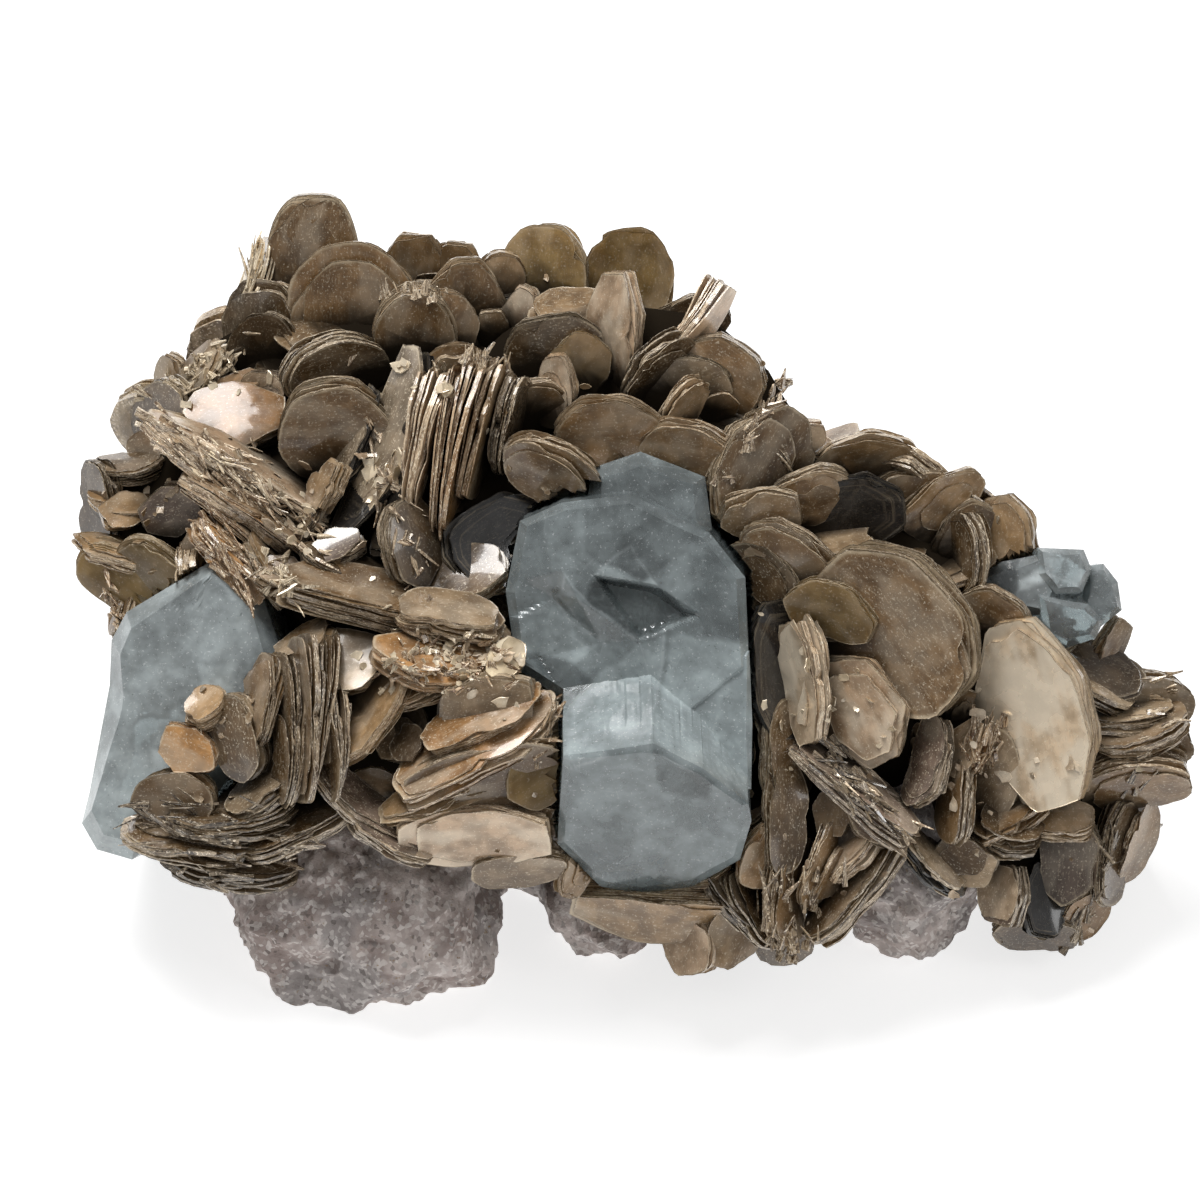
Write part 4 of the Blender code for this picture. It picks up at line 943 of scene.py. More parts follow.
def prism_surface(spec, relief, seed, around, across):
    """Points and triangles of one crystal.

    Rings run from the buried end along the sides, over the bevel and in across the end face:
    place = middle + reach(angle) * share + axis * depth, with fine grooves along the sides and
    etched relief on the end face.
    """
    corners = spec["outline"]
    middle = corners.mean(axis=0)
    bearing = np.arctan2(*(corners - middle).T[::-1])
    angle = np.sort(np.concatenate((2 * np.pi * np.arange(around) / around - np.pi, bearing)))
    reach = polygon_reach(corners, middle, angle)
    ways = np.stack((np.cos(angle), np.sin(angle)), 1)
    shrink = 1.0 - spec["bevel"] / np.maximum(reach, 1.0)
    rim = middle + ways * (reach * shrink)[:, None]
    high = end_height(spec, middle + ways * reach[:, None]) - spec["drop"]
    rows = []
    for k in range(SIDE_RINGS + 1):
        depth = 1.0 - k / SIDE_RINGS
        share = 1.0 + (spec["taper"] - 1.0) * depth
        at = middle + ways * (reach * share)[:, None]
        step = spec["axis"] * spec["length"] * depth
        level = np.full(len(angle), depth)
        groove = 0.8 * ripple(np.stack((angle * 40.0, level * 1.5, 0 * angle), 1), 1.0, seed)
        groove += 1.1 * ripple(np.stack((angle * 6.0, level * 6.0, 0 * angle), 1), 1.0, seed + 3)
        at = at + ways * (groove * min(1.0, 4 * depth))[:, None]
        rows.append(np.column_stack((at[:, 0] + step[0], at[:, 1] + step[1], high + step[2])))
    rim_u, rim_v = rim[::6, 0], rim[::6, 1]
    for share in np.linspace(1.0, 0.0, across + 1)[:-1]:
        at = middle + (rim - middle) * share
        raised = relief_height(relief, at[:, 0], at[:, 1], rim_u, rim_v)
        rough = 0.9 * ripple(np.column_stack((at, 0 * raised)), 22.0, seed + 5)
        rough += 0.35 * ripple(np.column_stack((at, 0 * raised)), 6.0, seed + 8)
        rough *= min(1.0, (1.0 - share) * 8)
        rows.append(np.column_stack((at, end_height(spec, at) + raised + rough)))
    rings = np.array(rows)
    buried = np.append(middle + spec["axis"][:2] * spec["length"],
                       spec["base"] - spec["drop"] + spec["axis"][2] * spec["length"])
    crown = rings[-1].mean(axis=0)
    points = np.concatenate((rings.reshape(-1, 3), (buried, crown)))
    return to_world_all(FRONT, points), ring_faces(len(rings), len(angle))


def to_world_all(face, points):
    """Rows of u, v, h to metres."""
    return face["middle"] + points @ np.array((face["right"], face["up"], face["out"])) * UNIT


def prism_planes(spec):
    """Outward planes round one crystal, as normals and offsets in metres."""
    corners = spec["outline"]
    loop = to_world_all(FRONT, np.column_stack((corners, end_height(spec, corners))))
    axes = np.array((FRONT["right"], FRONT["up"], FRONT["out"]))
    back = spec["axis"] @ axes
    step = back * spec["length"] * UNIT
    centre = loop.mean(axis=0) + 0.5 * step
    sides = np.cross(np.roll(loop, -1, axis=0) - loop, back)
    normals = [(unit(side), corner) for side, corner in zip(sides, loop)]
    end = np.cross(loop[2] - loop[0], loop[len(loop) // 2] - loop[1])
    normals.append((unit(end), loop[0]))
    normals.append((-FRONT["out"], loop.mean(axis=0) + step))
    outward = [(n if n.dot(p - centre) > 0 else -n, p) for n, p in normals]
    return np.array([n for n, _ in outward]), np.array([n.dot(p) for n, p in outward])


CLEARANCE = 0.0003                               # metres left between mica and crystals
TOUCHING = 0.0002                                # points nearer than this are moved


def clear_of_crystals(points, centre=None):
    """Points moved out of every crystal.

    They go straight back into the rosette or, for a book whose middle lies in front of the crystal,
    straight forward onto its face.
    """
    out = FRONT["out"]
    for normals, offsets in CRYSTAL_PLANES:
        gap = points @ normals.T - offsets
        inside = gap.max(axis=1) < TOUCHING
        if not inside.any():
            continue
        sense = -1.0
        if centre is not None:
            facing = normals @ -out
            reach = offsets - normals @ centre
            enter = np.max(np.where(facing < 0, reach / np.where(facing < 0, facing, -1.0), -9.0))
            leave = np.min(np.where(facing > 0, reach / np.where(facing > 0, facing, 1.0), 9.0))
            if 0.0 < enter < leave:
                sense = 1.0
        facing = normals @ (sense * out)
        open_way = facing > 1e-3
        away = np.where(open_way, (CLEARANCE - gap[inside]) / np.where(open_way, facing, 1.0), 9.0)
        points = points.copy()
        points[inside] += sense * out * away.min(axis=1)[:, None]
    return points


CRYSTAL_PLANES = [prism_planes(s) for s in (UPPER, TOP, LOWER, SHOULDER, LEFT) + CLUSTER]


def grown_together(name, shells):
    """Closed shells joined into one solid mesh."""
    objs = []
    for k, (points, faces) in enumerate(shells):
        mesh = bpy.data.meshes.new("%s_%d" % (name, k))
        mesh.from_pydata(points.tolist(), (), faces.tolist())
        obj = bpy.data.objects.new(mesh.name, mesh)
        bpy.context.scene.collection.objects.link(obj)
        objs.append(obj)
    first = objs[0]
    for other in objs[1:]:
        step = first.modifiers.new("join", "BOOLEAN")
        step.operation, step.solver, step.object = "UNION", "MANIFOLD", other
    bpy.context.view_layer.update()
    shaped = first.evaluated_get(bpy.context.evaluated_depsgraph_get())
    mesh = bpy.data.meshes.new_from_object(shaped)
    for obj in objs:
        bpy.data.objects.remove(obj)
    mesh.name = name
    mesh.materials.clear()
    mesh.polygons.foreach_set("material_index", np.zeros(len(mesh.polygons), dtype=np.int32))
    smooth_but_sharp(mesh, FACET_CREASE)
    return mesh


# Soft-edged areas painted on the crystals' faces: corners u, v, then lightness (partly the crystal's
# own cloudiness, partly painted light and shade of its facets) and milkiness
MAIN_AREAS = (
    (((-4, 23), (57, 15), (72, 1), (87, -17), (40, -40), (-17, -1)), 0.55, 0.25),
    (((14, 42), (31, 51), (57, 15), (-4, 24)), 1.30, 0.85),
    (((12, 78), (48, 74), (42, 50), (16, 50)), 1.20, 0.75),
    (((-88, -17), (-55, -8), (-45, 1), (-33, -17), (5, -46), (-30, -62), (-80, -50)), 1.16, 0.75),
    (((-95, -48), (-25, -62), (10, -105), (-65, -105)), 0.72, 0.35),
    (((-20, 150), (112, 135), (114, 62), (40, 20), (-15, 45)), 0.78, 0.40),
    (((85, 60), (150, 30), (150, -70), (110, -60), (92, -10)), 0.86, 0.45),
    (((-25, -100), (5, -68), (62, -34), (55, -110), (49, -140), (11, -150), (-38, -158)),
     1.12, 0.80),
    (((62, -34), (145, -40), (150, -100), (150, -198), (104, -170), (49, -140), (55, -110)),
     1.20, 0.85),
    (((-42, -160), (11, -150), (49, -141), (104, -172), (146, -196), (138, -256), (92, -285),
      (40, -293), (-2, -283)), 1.00, 0.55),
    (((52, -148), (110, -178), (108, -195), (60, -190)), 0.74, 0.30),
    (((-30, -230), (20, -215), (40, -270), (-5, -282)), 0.84, 0.45),
)
LEFT_AREAS = (
    (((-433, 5), (-400, 23), (-398, -1), (-416, -9)), 0.86, 0.50),
    (((-466, -24), (-437, -24), (-437, -65), (-460, -65)), 0.92, 0.60),
    (((-396, -65), (-360, -60), (-360, -92), (-392, -92)), 1.14, 0.90),
    (((-486, -9), (-398, 31), (-380, 43), (-383, 26), (-484, -22)), 1.20, 0.90),
    (((-386, 34), (-363, 3), (-347, 9), (-380, 43)), 1.18, 0.90),
    (((-515, -150), (-440, -150), (-440, -230), (-515, -230)), 1.12, 0.75),
    (((-446, -147), (-427, -147), (-425, -168), (-444, -170)), 1.35, 0.95),
)
RIGHT_AREAS = (
    (((414, 20), (435, 30), (447, 23), (440, 16), (416, 10)), 1.75, 0.90),
    (((374, 30), (412, 42), (412, 0), (380, -14)), 0.62, 0.30),
    (((438, 52), (477, 49), (482, 40), (476, 12), (455, 21), (440, 29)), 1.05, 0.60),
    (((482, 43), (498, 37), (506, 24), (495, 29), (483, 30)), 1.25, 0.90),
    (((450, -6), (485, -8), (500, -20), (470, -46), (442, -34)), 0.80, 0.40),
)
# Pale lines along the edges between facets: end points u, v
MAIN_LINES = (
    ((-36, 24), (-18, 1)), ((-36, 24), (-40, 4)), ((-40, 4), (-1, -43)), ((-18, 1), (37, -40)),
    ((-88, -17), (-55, -8)), ((-55, -8), (-45, 1)), ((-45, 1), (-33, -17)), ((-33, -17), (5, -46)),
    ((14, 42), (31, 51)), ((31, 51), (57, 15)), ((57, 15), (-4, 24)), ((-4, 24), (14, 42)),
    ((62, -34), (57, -81)), ((57, -81), (49, -140)), ((49, -141), (104, -172)),
    ((104, -172), (146, -195)), ((49, -141), (11, -150)), ((11, -150), (-30, -163)),
    ((40, -40), (87, -17)),
)
LEFT_LINES = (((-482, -9), (-398, 31)), ((-400, 23), (-402, -5)), ((-386, 34), (-363, 3)),
              ((-433, 5), (-416, -9)))
RIGHT_LINES = (((438, 52), (477, 49)), ((477, 49), (476, 12)), ((482, 23), (494, 28)),
               ((494, 28), (510, 20)), ((455, 21), (440, 29)), ((476, 12), (455, 21)))


def area_share(u, v, corners, soft):
    """1 inside a convex outline and 0 outside it, over a soft edge."""
    corners = np.array(corners, float)
    ahead = np.roll(corners, -1, axis=0)
    sides = ahead - corners
    area = (corners[:, 0] * ahead[:, 1] - ahead[:, 0] * corners[:, 1]).sum()
    sides = sides / np.linalg.norm(sides, axis=1)[:, None] * np.sign(area)
    gap = [side[0] * (v - c[1]) - side[1] * (u - c[0]) for side, c in zip(sides, corners)]
    return smooth_share(np.min(gap, axis=0) / soft * 0.5 + 0.5)


def line_share(u, v, lines, wide):
    """exp(-(d / wide)^2) for the distance d to the nearest of some lines."""
    best = np.full(len(u), 9e9)
    for (au, av), (bu, bv) in lines:
        du, dv = bu - au, bv - av
        along = np.clip(((u - au) * du + (v - av) * dv) / (du * du + dv * dv), 0.0, 1.0)
        best = np.minimum(best, np.hypot(u - au - along * du, v - av - along * dv))
    return np.exp(-(best / wide) ** 2)


AREA_EDGE = 3.5                                  # soft edge of a painted area
LINE_WIDTH = 1.5                                 # half width of a pale line


def paint_crystal(mesh, areas, lines, ground):
    """Point marks of a crystal: lightness (partly painted light and shade of facets), milkiness and
    pale edge line, over those of the ground.
    """
    points = np.empty(3 * len(mesh.vertices))
    mesh.vertices.foreach_get("co", points)
    spot = (points.reshape(-1, 3) - FRONT["middle"]) / UNIT
    u, v = spot @ FRONT["right"], spot @ FRONT["up"]
    drift = np.column_stack((u, v, spot @ FRONT["out"]))
    u = u + 3.0 * ripple(drift, 20.0, 3)
    v = v + 3.0 * ripple(drift, 20.0, 4)
    light, milk = np.full(len(u), ground[0]), np.full(len(u), ground[1])
    # the areas' lightness is partly painted light and shade of the facets
    for corners, lightness, milkiness in areas:
        share = area_share(u, v, corners, AREA_EDGE)
        light += (lightness - light) * share
        milk += (milkiness - milk) * share
    marks = np.column_stack((light, milk, line_share(u, v, lines, LINE_WIDTH)))
    layer = mesh.attributes.new("veil", "FLOAT_VECTOR", "POINT")
    layer.data.foreach_set("vector", marks.ravel().astype(np.float32))


# ------------------------------------------------------------------ finishes

class Wire:
    """A node's output; an operator between wires or numbers adds a Math node."""

    def __init__(self, graph, socket):
        self.graph, self.socket = graph, socket

    def __add__(self, other):
        return self.graph.maths("ADD", self, other)

    def __sub__(self, other):
        return self.graph.maths("SUBTRACT", self, other)

    def __rsub__(self, other):
        return self.graph.maths("SUBTRACT", other, self)

    def __mul__(self, other):
        return self.graph.maths("MULTIPLY", self, other)

    __radd__ = __add__
    __rmul__ = __mul__


class Graph:
    """One material's nodes, written as expressions."""

    def __init__(self, name):
        self.material = bpy.data.materials.new(name)
        self.material.use_nodes = True
        self.tree = self.material.node_tree
        self.tree.nodes.clear()

    def node(self, kind, settings=None, inputs=None, out=0):
        """Any node: its settings first, then the values or links of its sockets."""
        made = self.tree.nodes.new(kind)
        for key, value in (settings or {}).items():
            setattr(made, key, value)
        for key, value in (inputs or {}).items():
            if isinstance(value, Wire):
                self.tree.links.new(value.socket, made.inputs[key])
            else:
                made.inputs[key].default_value = value
        return Wire(self, made.outputs[out])

    def maths(self, operation, a, b):
        """Two numbers through one Math node."""
        return self.node("ShaderNodeMath", {"operation": operation}, {0: a, 1: b})

    def smooth(self, value, low, high, start=0.0, end=1.0):
        """Smooth step of a value between two limits."""
        return self.node("ShaderNodeMapRange", {"interpolation_type": "SMOOTHSTEP"},
                         {0: value, 1: low, 2: high, 3: start, 4: end})

    def mix(self, factor, a, b, blend="MIX"):
        """Mix two colours, each a wire or three numbers."""
        a, b = (c if isinstance(c, Wire) else (*c, 1.0) for c in (a, b))
        return self.node("ShaderNodeMix", {"data_type": "RGBA", "blend_type": blend},
                         {0: factor, 6: a, 7: b}, out=2)

    def vector(self, operation, a, b):
        """Two vectors through one Vector Math node."""
        return self.node("ShaderNodeVectorMath", {"operation": operation}, {0: a, 1: b})

    def noise(self, place, scale, detail=2.0, rough=0.5, distortion=0.0, stretch=None, shift=None):
        """Layered noise over a place, first scaled by a stretch or moved by a shift."""
        if stretch:
            place = self.vector("MULTIPLY", place, stretch)
        if shift:
            place = self.vector("ADD", place, shift)
        return self.node("ShaderNodeTexNoise", {}, {"Vector": place, "Scale": scale, "Detail": detail,
                                                    "Roughness": rough, "Distortion": distortion})

    def millimetres(self):
        """Object coordinates in millimetres."""
        return self.vector("MULTIPLY", self.node("ShaderNodeTexCoord", out="Object"), (1.0 / MM,) * 3)

    def mark(self, name):
        """A point attribute as a vector."""
        return self.node("ShaderNodeAttribute", {"attribute_name": name}, out="Vector")

    def parts(self, vector):
        """The three numbers of a vector."""
        first = self.node("ShaderNodeSeparateXYZ", {}, {0: vector})
        outs = first.socket.node.outputs
        return tuple(Wire(self, outs[k]) for k in range(3))

    def bump(self, height, strength, distance):
        """The normal over a height in parts of a distance in metres."""
        return self.node("ShaderNodeBump", {}, {"Height": height, "Strength": strength,
                                                "Distance": distance})

    def surface(self, shader, volume=None):
        """The finished material."""
        made = self.tree.nodes.new("ShaderNodeOutputMaterial")
        self.tree.links.new(shader.socket, made.inputs["Surface"])
        if volume is not None:
            self.tree.links.new(volume.socket, made.inputs["Volume"])
        return self.material


MICA = "muscovite mica"
GAP_SHADE_COLOUR = (0.016, 0.012, 0.008)                    # painted shade: colour at the bottom of the gaps between books
BERYL_INDEX = 1.577                              # refraction of aquamarine


def mica_edge(g, book, tone, pale, coarse):
    """Colour of a book's torn edge: fine dark and pale streaks along its sheets, with painted glints.
    """
    fine = g.noise(book, 1.0, 2.0, 0.7, stretch=(1.2, 1.2, 11.0))
    streak = g.smooth(coarse * 0.5 + fine * 0.5, 0.43, 0.57)
    # painted glints: bright specks along the torn edge standing for highlights
    painted_glint = g.smooth(g.noise(book, 1.0, 1.0, 0.7, stretch=(2.4, 2.4, 10.0)), 0.58, 0.66)
    dark_edge = g.mix(1.0, tone, (0.34, 0.30, 0.26), "MULTIPLY")
    pale_edge = g.mix(pale * 0.55, tone, (0.66, 0.57, 0.46))
    edge = g.mix(streak, dark_edge, pale_edge)
    return g.mix(painted_glint * (pale * 0.75 + 0.20), edge, (0.95, 0.90, 0.83))


def mica_plate(g, book, tone, pale, blotch, rim, luck, gleam):
    """Colour of a sheet's face: blotches, growth lines, scratches, pale rim partly of painted light,
    painted satin sheen and flecks of painted glint.
    """
    arcs = g.noise(g.vector("ADD", g.node("ShaderNodeCombineXYZ", {}, {0: rim * 14.0, 1: luck * 40.0}),
                            g.vector("MULTIPLY", book, (0.16, 0.16, 0.0))), 1.0, 2.0, 0.7)
    shade = g.mix(g.smooth(blotch, 0.30, 0.70), (0.58, 0.55, 0.51), (1.16, 1.15, 1.14))
    plate = g.mix(1.0, tone, shade, "MULTIPLY")
    growth = g.smooth(arcs, 0.52, 0.66) * g.smooth(rim, 0.45, 0.95)
    plate = g.mix(growth * 0.22, plate, (0.50, 0.43, 0.34))
    scratch = g.noise(book, 1.0, 2.0, 0.75, stretch=(1.1, 4.2, 1.1))
    furrow = 1.0 - g.smooth(scratch, 0.34, 0.45)
    plate = g.mix(furrow * 0.26, plate, g.mix(1.0, tone, (0.42, 0.38, 0.33), "MULTIPLY"))
    plate = g.mix(g.smooth(scratch, 0.58, 0.68) * (pale * 0.30 + 0.04), plate, (0.78, 0.70, 0.59))
    # paler thin rim: partly the thin edge's own paler colour, partly painted light caught in it
    thin = g.smooth(rim + (blotch - 0.5) * 0.08, 0.93, 0.99)
    plate = g.mix(thin * (pale * 0.62 + 0.13), plate, (0.70, 0.62, 0.50))
    # painted sheen: soft near-white patches, stronger on gleaming books
    painted_sheen = g.noise(book, 1.0, 2.0, 0.6, stretch=(0.10, 0.22, 0.10)) + gleam * 0.10
    painted_sheen = g.smooth(painted_sheen, 0.47, 0.63)
    plate = g.mix(painted_sheen * (gleam * 0.85 + 0.04) * pale, plate, (0.94, 0.89, 0.83))
    # painted highlights: small bright flecks on the face
    painted_glint_fleck = g.smooth(g.noise(book, 3.6, 1.0, 0.7), 0.63, 0.70)
    return g.mix(painted_glint_fleck * (pale * 0.50 + 0.04), plate, (0.90, 0.85, 0.77))


def mica_finish():
    """Pearly, glassy brown mica: streaked torn edges with painted glints, pale rims partly of painted
    light, faint growth lines, scratches, painted sheen and glinting flecks, and painted shade in the
    gaps.
    """
    g = Graph(MICA)
    book, tone = g.mark("book"), g.mark("tone")
    rim, side, luck = g.parts(g.mark("form"))
    gleam, clear, deep = g.parts(g.mark("shine"))
    pale = g.smooth(g.parts(tone)[0], 0.02, 0.14)

    coarse = g.noise(book, 1.0, 1.0, 0.6, stretch=(0.35, 0.35, 5.0))
    edge = mica_edge(g, book, tone, pale, coarse)
    blotch = g.noise(book, 0.35, 2.0, 0.6)
    plate = mica_plate(g, book, tone, pale, blotch, rim, luck, gleam)
    colour = g.mix(1.0, g.mix(side, plate, edge), (1.10, 1.02, 0.86), "MULTIPLY")
    # painted shade: the colour is drawn towards near black deep in the gaps and on the hearts
    colour = g.mix(deep, colour, GAP_SHADE_COLOUR)
    height = coarse * side * 2.6 + blotch * (1.0 - side) * 0.8
    normal = g.bump(height, 0.55, 0.00016)
    sheen = g.node("ShaderNodeBsdfPrincipled", {}, {
        "Base Color": colour, "Roughness": 0.20 + blotch * 0.14 + side * 0.16,
        # the coat fades out where the painted shade of the gaps is deep
        "Metallic": gleam * 0.45, "IOR": 1.58, "Coat Weight": 0.8 * (1.0 - deep),
        "Coat Roughness": 0.07, "Normal": normal})
    glow = g.node("ShaderNodeBsdfTranslucent", {}, {"Color": (0.70, 0.55, 0.34, 1.0)})
    sheet = g.node("ShaderNodeMixShader", {}, {0: clear * (1.0 - side * 0.6), 1: sheen, 2: glow})
    # painted shade: a dull near-black surface mixed in deep in the gaps
    painted_shade = g.node("ShaderNodeBsdfDiffuse", {}, {"Color": (*GAP_SHADE_COLOUR, 1.0)})
    return g.surface(g.node("ShaderNodeMixShader", {}, {0: deep, 1: sheet, 2: painted_shade}))


def rock_finish():
    """Granular pinkish-grey feldspar with sugary grains, rusty specks and dark specks of painted shade
    standing for pits.
    """
    g = Graph("feldspar rock")
    place = g.millimetres()
    patch = g.noise(place, 0.16, 3.0, 0.6)
    colour = g.mix(g.smooth(patch, 0.38, 0.62), (0.34, 0.27, 0.245), (0.60, 0.52, 0.485))
    grey = g.smooth(g.noise(place, 0.10, 3.0, shift=(40.0, 9.0, 3.0)), 0.50, 0.62)
    colour = g.mix(grey * 0.6, colour, (0.30, 0.28, 0.275))
    cells = g.node("ShaderNodeTexVoronoi", {}, {"Vector": place, "Scale": 1.9}, out="Color")
    lightness, _, chance = g.parts(cells)
    colour = g.mix(g.smooth(lightness, 0.55, 0.95) * 0.55, colour, (0.86, 0.81, 0.77))
    # painted shade: dark specks standing for the shade in pits
    colour = g.mix(g.smooth(chance, 0.84, 0.96) * 0.55, colour, (0.10, 0.08, 0.07))
    rust = g.smooth(g.noise(place, 1.9, 3.0, 0.6), 0.62, 0.70)
    rusty = g.smooth(g.noise(place, 0.22, 2.0, shift=(5.0, 70.0, 0.0)), 0.48, 0.60)
    colour = g.mix(rust * rusty * 0.8, colour, (0.30, 0.19, 0.08))
    sugar = g.noise(place, 3.4, 3.0, 0.7)
    height = sugar * 0.6 + lightness * 0.5 + patch * 0.6
    body = g.node("ShaderNodeBsdfPrincipled", {}, {
        "Base Color": colour, "Roughness": 0.62 + sugar * 0.2, "IOR": 1.53,
        "Normal": g.bump(height, 0.8, 0.0005)})
    return g.surface(body)


def beryl_finish(name, tint, depth):
    """Cloudy blue-grey beryl: a clear body with milky veils, pale facet edges, cracks, dark specks and
    bright specks of painted sparkle.

    tint: colour of the veils; depth: how strongly the clear body absorbs light.
    """
    g = Graph(name)
    place = g.millimetres()
    light, milkiness, line = g.parts(g.mark("veil"))
    cloud = g.noise(place, 0.22, 3.0, 0.62)
    wisp = g.noise(place, 0.8, 3.0, 0.65, 0.8, stretch=(0.6, 0.45, 1.0))
    # painted highlights: bright sparkling specks
    painted_sparkle = g.smooth(g.noise(place, 2.8, 2.0, 0.75), 0.62, 0.69)
    pore = g.smooth(g.noise(place, 2.3, 2.0, 0.7, shift=(31.0, 7.0, 9.0)), 0.65, 0.73)
    crack = g.node("ShaderNodeTexVoronoi", {"feature": "DISTANCE_TO_EDGE"},
                   {"Vector": g.vector("MULTIPLY", place, (1.0, 0.6, 0.8)), "Scale": 0.16,
                    "Randomness": 1.0})
    crack = (1.0 - g.smooth(crack, 0.0, 0.018)) * g.smooth(g.noise(place, 0.3, 2.0), 0.50, 0.60)
    etch = g.noise(place, 1.0, 3.0, 0.6, stretch=(1.6, 0.5, 0.5))
    normal = g.bump(etch, 0.14, 0.0003)
    # the areas' lightness, partly painted light and shade of the facets, over the cloud
    lightness = light * g.smooth(cloud, 0.30, 0.72, 0.88, 1.10) + (wisp - 0.5) * 0.34
    milky = g.node("ShaderNodeVectorMath", {"operation": "SCALE"}, {0: tint, "Scale": lightness})
    milky = g.mix(line * 0.24 + crack * 0.20, milky, (0.60, 0.65, 0.66))
    milky = g.mix(painted_sparkle * 0.55, milky, (0.88, 0.92, 0.93))
    milky = g.mix(pore * 0.45, milky, (0.09, 0.11, 0.11))
    clear = g.node("ShaderNodeBsdfPrincipled", {}, {
        "Base Color": (0.80, 0.88, 0.89, 1.0), "Roughness": 0.14, "IOR": BERYL_INDEX,
        "Transmission Weight": 1.0, "Normal": normal})
    milky = g.node("ShaderNodeBsdfPrincipled", {}, {
        "Base Color": milky, "Roughness": 0.20, "IOR": BERYL_INDEX, "Coat Weight": 0.40,
        "Coat Roughness": 0.06, "Normal": normal})
    share = milkiness * 0.75 + 0.18 + g.smooth(cloud, 0.35, 0.68, -0.10, 0.12) + line * 0.12
    both = g.node("ShaderNodeMixShader", {}, {0: share, 1: clear, 2: milky})
    volume = g.node("ShaderNodeVolumeAbsorption", {},
                    {"Color": (0.50, 0.66, 0.69, 1.0), "Density": depth})
    return g.surface(both, volume)


def floor_finish():
    """Plain pale studio floor."""
    g = Graph("studio floor")
    return g.surface(g.node("ShaderNodeBsdfPrincipled", {}, {
        "Base Color": (0.52, 0.52, 0.52, 1.0), "Roughness": 0.8, "Specular IOR Level": 0.1,
        "Emission Color": (1.0, 1.0, 1.0, 1.0), "Emission Strength": 0.72}))


# ------------------------------------------------------------------ settings and operators

def tint_setting(name, description, colour):
    """A colour of the settings."""
    return bpy.props.FloatVectorProperty(name=name, description=description, default=colour,
                                         min=0.0, max=1.0, subtype="COLOR")


class SpecimenLook(bpy.types.PropertyGroup):
    """Sizes, amounts and colours of the specimen."""

    fineness: bpy.props.FloatProperty(
        name="Book fineness", description="Points round each mica book, against the usual number",
        default=1.0, min=0.4, max=1.5, subtype="FACTOR")
    flakes: bpy.props.IntProperty(
        name="Loose flakes", description="Bright chips of mica scattered over the rosettes",
        default=260, min=0, max=1500)
    main_tint: tint_setting("Main crystal", "Cloudy colour of the large aquamarine in the middle",
                            (0.318, 0.364, 0.370))
    left_tint: tint_setting("Left crystal", "Cloudy colour of the pale aquamarine at the left",
                            (0.400, 0.445, 0.450))
    right_tint: tint_setting("Right crystals", "Cloudy colour of the small cluster at the right",
                             (0.31, 0.34, 0.345))
    key_light: bpy.props.FloatProperty(
        name="Key light", description="Power of the large lamp over the specimen",
        default=8.5, min=0.0, max=100.0, unit="POWER")


def look_of(context):
    """The settings of the specimen."""
    return context.scene.specimen_look


class SPECIMEN_OT_rock(bpy.types.Operator):
    """Build the feldspar rock with its flat foot"""

    bl_idname = "specimen.rock"
    bl_label = "Feldspar rock"

    def execute(self, context):
        place_piece("rock", rock_shell().mesh("rock", ROCK_CREASE), rock_finish(), "rock", "matrix")
        return {"FINISHED"}


# Books between the rosettes on the front side, in the columns of the rosettes' table
EXTRA_BOOKS = (
    (-338, 248, -16, 96, 74, 14, 80, 250, 25, "d"),
    (88, 278, -40, 90, 60, 14, 30, 270, 30, "d"),
    (143, -130, -30, 90, 24, 10, 88, 0, 60, "b"),
    (318, -160, -14, 84, 34, 12, 75, 200, 40, "p"),
    (-68, 190, -30, 60, 44, 10, 30, 270, 25, "b"),
    (362, -108, -22, 50, 36, 10, 60, 270, 30, "t"),
    (-112, 124, -34, 70, 50, 10, 40, 300, 30, "v"),
    (-224, -181, -26, 50, 36, 10, 0, 270, 25, "b"),
    (117, 190, -24, 50, 36, 10, 40, 270, 30, "b"),
    (-108, 270, -30, 50, 40, 10, 90, 270, 25, "b"),
    (0, 219, -28, 60, 36, 10, 0, 270, 25, "t"),
)


# Sides from which bare hearts are covered, and whether only where the front side hides them
BARE_SIDES = ((BACK, True), (BACK_RIGHT, True), (RIGHT_SIDE, True), (TOP_SIDE, False))
COVER_ROWS, COVER_COLUMNS = 16, 22
COVER_WIDE, COVER_HIGH = 62, 42                  # spacing of the columns and rows
COVER_UNDER = 6                                  # rows under the middle of a side
COVER_FOOT = 0.006                               # metres over the floor under which none is laid
COVER_SIGHT = 1500.0                             # height over a side from which it is looked at
COVER_THICK, COVER_RISE = 9, 5                   # thickness of a cover book and its height over a heart
COVER_TONES = "bdtb"                             # finishes of the columns, in turn
COVER_FINENESS = 0.5                             # points round a cover book
HIDDEN_FINENESS = 0.62                           # points round books the front side hides


def tree_of(shells):
    """A tree for ray casting over the triangles of some shells."""
    points, faces, start = [], [], 0
    for shell in shells:
        points += shell.points
        faces += [part + start for part in shell.faces]
        start += shell.count
    return BVHTree.FromPolygons(np.concatenate(points).tolist(), np.concatenate(faces).tolist())


def is_free(trees, start, way):
    """Whether a ray meets none of some trees."""
    return all(tree.ray_cast(start, way)[0] is None for tree in trees)


